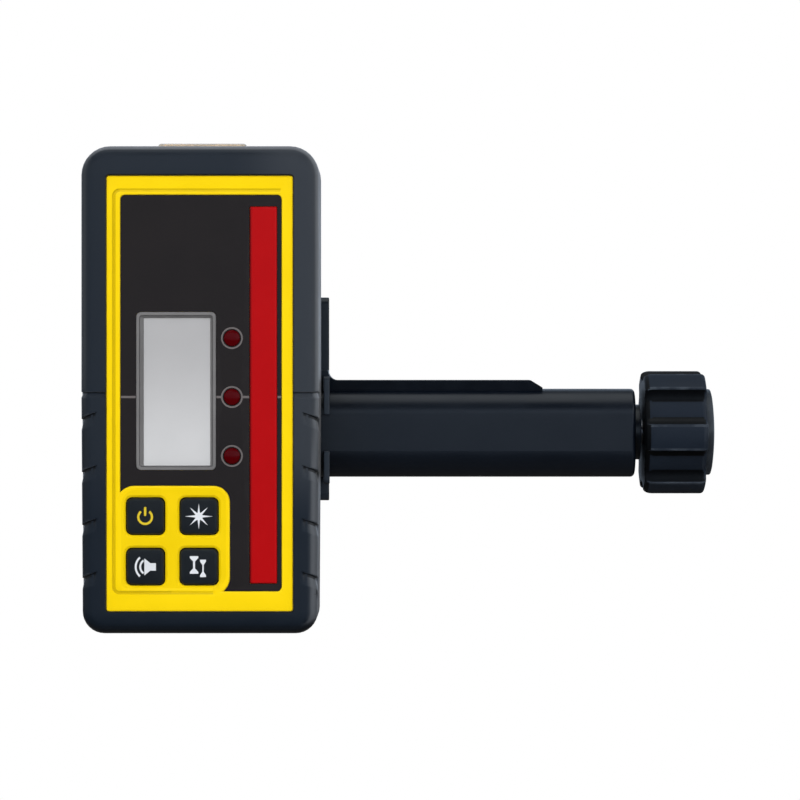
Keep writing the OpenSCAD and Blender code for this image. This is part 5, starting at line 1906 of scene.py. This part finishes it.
    def _pad(self, shop: Workshop, node: str, name: str, body: str, out: float) -> None:
        """Make a jaw pad with a row of cross ribs.

        Args:
            shop: the workshop.
            node: node that it stands for.
            name: name of the piece.
            body: body that it rides on.
            out: +1 where the pad faces right, -1 where it faces left.
        """
        box = Box.of(node)
        face, foot = (box.x1, box.x0) if out > 0 else (box.x0, box.x1)
        bed = face - out * self.rib_h
        rows = ((0.0, foot), (0.0, bed - out * 0.4), (0.12, bed - out * 0.12), (0.4, bed))
        rings = at_steps((box.side(inset, self.pad_r - inset, 8), x) for inset, x in rows)
        shop.make(name, Solid().closed(rings), Finishes.PAD, body, [node])
        half, r = self.rib_w / 2, self.rib_r
        count = int((box.z1 - box.z0 - 2 * self.rib_clear) / self.rib_pitch) + 1
        first = box.centre[2] - (count - 1) / 2 * self.rib_pitch
        rib = replace(box, y0=box.y0 + self.rib_inset, y1=box.y1 - self.rib_inset, z0=first - half, z1=first + half)
        rows = ((0.0, bed - out * 0.1), (0.0, face - out * r), (r * 0.3, face - out * r * 0.3), (r, face))
        rings = at_steps((rib.side(inset, 0.6, 4), x) for inset, x in rows)
        shop.row(name + "_ribs", Solid().closed(rings), Finishes.PAD, body, count, self.rib_pitch)

    def _screws(self, shop: Workshop) -> None:
        """Make the case screws and the fixed jaw's screws with cross recesses."""
        case, r = Box.of("case_screws"), self.case_screw_r
        places = [(x, case.y1, z) for x in (case.x0 + r, case.x1 - r) for z in (case.z0 + r, case.z1 - r)]
        screw = ScrewHead(r, 1.3, 1.5, case.y1 - case.y0)
        screw.place(shop, "back_screws", "case_screws", places, Facing.BACK)
        jaw, r = Box.of("fixed_jaw_screws"), self.jaw_screw_r
        places = [(jaw.x0, y, z) for y in (jaw.y0 + r, jaw.y1 - r) for z in (jaw.z0 + r, jaw.z1 - r)]
        screw = ScrewHead(r, 1.8, 2.0, jaw.x1 - jaw.x0, cross_w=1.1, cross_deep=1.2)
        screw.place(shop, "jaw_screws", "fixed_jaw_screws", places, Facing.LEFT)

    def _lobe(self, r: float) -> Loop:
        """Draw the edge of one lobe, from the bottom of one flute to the bottom of the next, in Y and Z.

        Args:
            r: radius over the lobes.

        Returns:
            The points, in order of angle.
        """
        half, lean = math.pi / self.knob_lobes, math.radians(self.flute_half)
        low, flat = r - self.flute_deep, self.flute_floor
        rim = (r * math.cos(lean), r * math.sin(lean))
        points = [(low + self.flute_crown * (1 - (k / 4) ** 2), flat * k / 4) for k in range(5)]
        for k in range(1, 9):
            share = k / 8
            points.append((low + (rim[0] - low - self.lip_r) * share ** 2, flat + (rim[1] - flat) * share))
        points += arc((0.0, 0.0), r, lean + self.lip_r / r, half - lean - self.lip_r / r, 6)
        right = turned_by(points, -half)
        return turned_by(right + [(u, -v) for u, v in reversed(right[:-1])], math.radians(self.knob_phase))

    def _wedge(self, box: Box) -> Solid:
        """Draw the knob's part that holds one lobe, open where the next ones join it.

        Args:
            box: the knob's box.

        Returns:
            The solid, about the knob's axis.
        """
        lobe = self._lobe(self.knob_r)
        lengths = [math.hypot(u, v) for u, v in lobe]
        angles = [QUARTER * k / 6 for k in range(7)]
        sides = [(self.knob_edge * (1 - math.cos(a)), 1 - math.sin(a)) for a in reversed(angles)]
        near, far = self.knob_round
        x0 = box.x0 + self.knob_start
        solid = Solid()
        rows = []
        for x, shrink in ((x0, None), *((x0 + d * near, s) for s, d in sides),
                          *((box.x1 - d * far, s) for s, d in reversed(sides)), (box.x1, None)):
            shares = [(self.hub_r if shrink is None else length - shrink) / length for length in lengths]
            rows.append(solid.ring((x, u * share, v * share) for (u, v), share in zip(lobe, shares)))
        for a, b in zip(rows, rows[1:]):
            for i in range(len(lobe) - 1):
                solid.bm.faces.new((a[i], a[i + 1], b[i + 1], b[i]))
        first, last = rows[0], rows[-1]
        for i in range(len(lobe) - 1):
            solid.bm.faces.new((first[i], last[i], last[i + 1], first[i + 1]))
        return solid

    def _knob(self, shop: Workshop) -> None:
        """Make the knob by repeating one lobe round its axis, with its cap."""
        box = Box.of("clamp_knob")
        _, y, z = box.centre
        obj = Repeats.apply(linked("knob", self._wedge(box).mesh("knob")), Repeats.around(), Count=self.knob_lobes,
                            Centre=(0.0, y * MM, z * MM), Finish=Finishes.KNOB.material())
        edge = self.knob_r * math.sin(math.radians(self.flute_half))

        def hollow(middle: Vector, normal: Vector) -> bool:
            """Tell whether a face lies in a flute or at the back, where shade is painted."""
            turn = math.atan2(middle.z - z, middle.y - y) - math.radians(self.knob_phase)
            off = (turn % (math.tau / self.knob_lobes)) - math.pi / self.knob_lobes
            across = abs(math.hypot(middle.y - y, middle.z - z) * math.sin(off))
            return normal.x < -0.35 or abs(normal.x) < 0.35 and self.flute_floor + 0.2 < across < edge - 0.2

        # Painted shade: the flutes and the back of the knob are darkened through the knob's finish.
        paint_shade(obj, 1.0, hollow)
        shop.keep(obj, Finishes.KNOB, Body.KNOB.value, ["clamp_knob"], "clamp_plastic")
        self._cap(shop, box)

    def _cap(self, shop: Workshop, box: Box) -> None:
        """Make the knob's domed cap.

        Args:
            shop: the workshop.
            box: the knob's box.
        """
        _, y, z = box.centre
        cap = Box.of("knob_cap")
        rim = (cap.z1 - cap.z0) / 2
        rise = cap.x1 - box.x1 - self.cap_rim
        dome = (rim ** 2 + rise ** 2) / (2 * rise)
        edge = box.x1 + self.cap_rim - self.cap_low
        tip = cap.x1 - self.cap_low
        profile = [(rim - 1.6, cap.x0), (rim - 1.6, box.x1), (rim, box.x1), (rim, edge - 0.5),
                   (rim - 0.05, edge - 0.25), (rim - 0.18, edge - 0.06)]
        for k in range(1, 24):
            rr = (rim - 0.2) * (1 - k / 24)
            profile.append((rr, tip - dome + math.sqrt(dome ** 2 - rr ** 2)))
        solid = Solid().turned(profile, lambda u, v, h: (h, y + u, z + v), 72)
        shop.make("knob_cover", solid, Finishes.CAP, Body.KNOB.value, ["knob_cap"], "clamp_plastic")


@dataclass
class Inside:
    """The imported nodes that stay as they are, each with its finish."""

    finishes: dict[str, Finish] = field(default_factory=lambda: {
        "case_seal": Finishes.PAD, "lcd_module": Finishes.MODULE, "main_board": Finishes.BOARD,
        "board_screws": Finishes.STEEL, "tact_switches": Finishes.SWITCH, "photodiodes": Finishes.SWITCH,
        "beeper": Finishes.SWITCH, "battery_cells": Finishes.CELL, "battery_contacts": Finishes.STEEL,
        "contact_springs": Finishes.STEEL, "hinge_pin": Finishes.STEEL, "back_insert": Finishes.BRASS,
        "mount_plate_screws": Finishes.STEEL, "locating_pins": Finishes.STEEL, "jaw_nut": Finishes.BRASS,
        "lead_screw": Finishes.STEEL, "knob_pin": Finishes.STEEL, "thumb_screw": Finishes.STEEL})

    def build(self, shop: Workshop) -> None:
        """Dress the nodes.

        Args:
            shop: the workshop.
        """
        for node, finish in self.finishes.items():
            shop.dress(node, finish)
            LOG.info("%s keeps its packed shape", node)


@dataclass
class Studio:
    """A white room with soft light and a camera straight in front."""

    eye: Point = (61.5, -973.0, -0.92)
    focal_px: float = 2984.0
    frame_px: float = 800.0
    sensor: float = 36.0
    floor_z: float = -300.0
    floor_half: float = 6000.0
    softbox: float = 0.75
    ambient: float = 0.3
    aim: Point = (50.0, -20.0, 0.0)
    light_side: float = 900.0
    light_spread: float = 70.0
    lights: tuple[tuple[str, Point, float], ...] = (
        ("key", (-350.0, -1100.0, 650.0), 2.1), ("fill", (650.0, -1100.0, 250.0), 1.2),
        ("back", (-300.0, 1100.0, 650.0), 2.4), ("back_fill", (700.0, 1000.0, 300.0), 1.6))

    def build(self) -> None:
        """Set the camera, the lights, the world and the floor."""
        scene = bpy.context.scene
        scene.view_settings.view_transform = "Standard"
        lens = bpy.data.cameras.new("camera")
        lens.sensor_width = self.sensor
        lens.lens = self.focal_px / self.frame_px * self.sensor
        lens.clip_start, lens.clip_end = 0.01, 50.0
        camera = bpy.data.objects.new("camera", lens)
        camera.location = Vector(self.eye) * MM
        camera.rotation_euler = (math.pi / 2, 0.0, 0.0)
        scene.collection.objects.link(camera)
        scene.camera = camera
        self._world(scene)
        self._floor()
        for name, place, power in self.lights:
            self._light(name, place, power)

    def _light(self, name: str, place: Point, power: float) -> None:
        """Add a square soft light that faces the receiver.

        Args:
            name: name of the light.
            place: where it stands.
            power: its power in watts.
        """
        lamp = bpy.data.lights.new(name, "AREA")
        lamp.size = self.light_side * MM
        lamp.energy = power
        lamp.spread = math.radians(self.light_spread)
        obj = bpy.data.objects.new(name, lamp)
        obj.location = Vector(place) * MM
        aim = Vector(self.aim) * MM - obj.location
        obj.rotation_euler = aim.to_track_quat("-Z", "Y").to_euler()
        obj.visible_glossy = False
        bpy.context.scene.collection.objects.link(obj)

    def _world(self, scene: bpy.types.Scene) -> None:
        """Make a world that is white to the camera, light and dark fields to reflections and grey as a light."""
        world = bpy.data.worlds.new("studio")
        world.use_nodes = True
        tree = Tree(world.node_tree)
        path = tree.add("ShaderNodeLightPath").outputs
        direct = tree.most(path["Is Camera Ray"], path["Is Transmission Ray"])
        seen = tree.most(direct, path["Is Glossy Ray"])
        way = tree.add("ShaderNodeTexCoord").outputs["Generated"]
        side, deep, up = tree.add("ShaderNodeSeparateXYZ", {0: way}).outputs
        ahead = tree.spread(deep, 0.1, 0.5, 1.0, 0.0)
        band = tree.times(tree.spread(up, -0.4, -0.02, 0.0, 1.0), tree.spread(up, 0.26, 0.42, 1.0, 0.0))
        lean = tree.spread(side, -0.4, 0.3, self.softbox * 0.75, self.softbox * 1.25)
        front = tree.times(tree.times(band, lean), tree.spread(deep, -0.75, -0.4, 1.0, 0.0))
        roof = tree.times(tree.spread(up, 0.74, 0.9, 0.0, 1.0), ahead)
        level = tree.times(tree.spread(up, -0.5, -0.2, 0.0, 1.0), ahead)
        right = tree.times(tree.spread(side, 0.5, 0.8, 0.0, 1.0), level)
        left = tree.times(tree.spread(side, -0.9, -0.6, 0.5, 0.0), level)
        panels = tree.most(roof, tree.most(right, left))
        behind = tree.times(tree.spread(deep, 0.5, 0.85, 0.0, 0.8), tree.spread(up, -0.35, 0.0, 0.0, 1.0))
        glow = tree.mix(tree.most(front, behind), (0.01, 0.012, 0.016, 1.0), (0.66, 0.8, 1.0, 1.0))
        mirrored = tree.mix(panels, glow, (0.9, 0.96, 1.0, 1.0))
        shade = tree.mix(direct, mirrored, WHITE)
        plain = tree.add("ShaderNodeBackground", {"Color": WHITE, "Strength": self.ambient})
        shown = tree.add("ShaderNodeBackground", {"Color": shade, "Strength": 1.0})
        mixed = tree.add("ShaderNodeMixShader", {0: seen, 1: plain.outputs[0], 2: shown.outputs[0]})
        tree.add("ShaderNodeOutputWorld", {"Surface": mixed.outputs[0]})
        scene.world = world

    def _floor(self) -> None:
        """Lay a pale floor well below the clamped receiver."""
        half = self.floor_half
        square = [(-half, -half), (half, -half), (half, half), (-half, half)]
        floor = linked("floor", Solid().fill(square, [], at_z(self.floor_z)).mesh("floor"))
        if floor.data.polygons[0].normal.z < 0:
            floor.data.flip_normals()
        made = bpy.data.materials.new("pale_floor")
        made.use_nodes = True
        tree = Tree(made.node_tree)
        path = tree.add("ShaderNodeLightPath").outputs
        tone = tree.mix(path["Is Glossy Ray"], linear((205, 205, 205)), linear((70, 70, 70)))
        matt = tree.add("ShaderNodeBsdfDiffuse", {"Color": tone})
        white = tree.add("ShaderNodeEmission", {"Color": WHITE, "Strength": 1.0})
        mixed = tree.add("ShaderNodeMixShader", {
            0: path["Is Camera Ray"], 1: matt.outputs[0], 2: white.outputs[0]})
        clear = tree.add("ShaderNodeBsdfTransparent")
        under = tree.add("ShaderNodeNewGeometry").outputs["Backfacing"]
        shown = tree.add("ShaderNodeMixShader", {0: under, 1: mixed.outputs[0], 2: clear.outputs[0]})
        tree.add("ShaderNodeOutputMaterial", {"Surface": shown.outputs[0]})
        floor.data.materials.append(made)


def main() -> None:
    """Load the frame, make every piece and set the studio."""
    logging.basicConfig(level=logging.INFO, format="%(name)s: %(message)s")
    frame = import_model()
    Studio().build()
    shop = Workshop(frame)
    Receiver().build(shop)
    RodClamp().build(shop)
    Inside().build(shop)
    LOG.info("%d pieces made", shop.count)


if __name__ == "__main__":
    main()
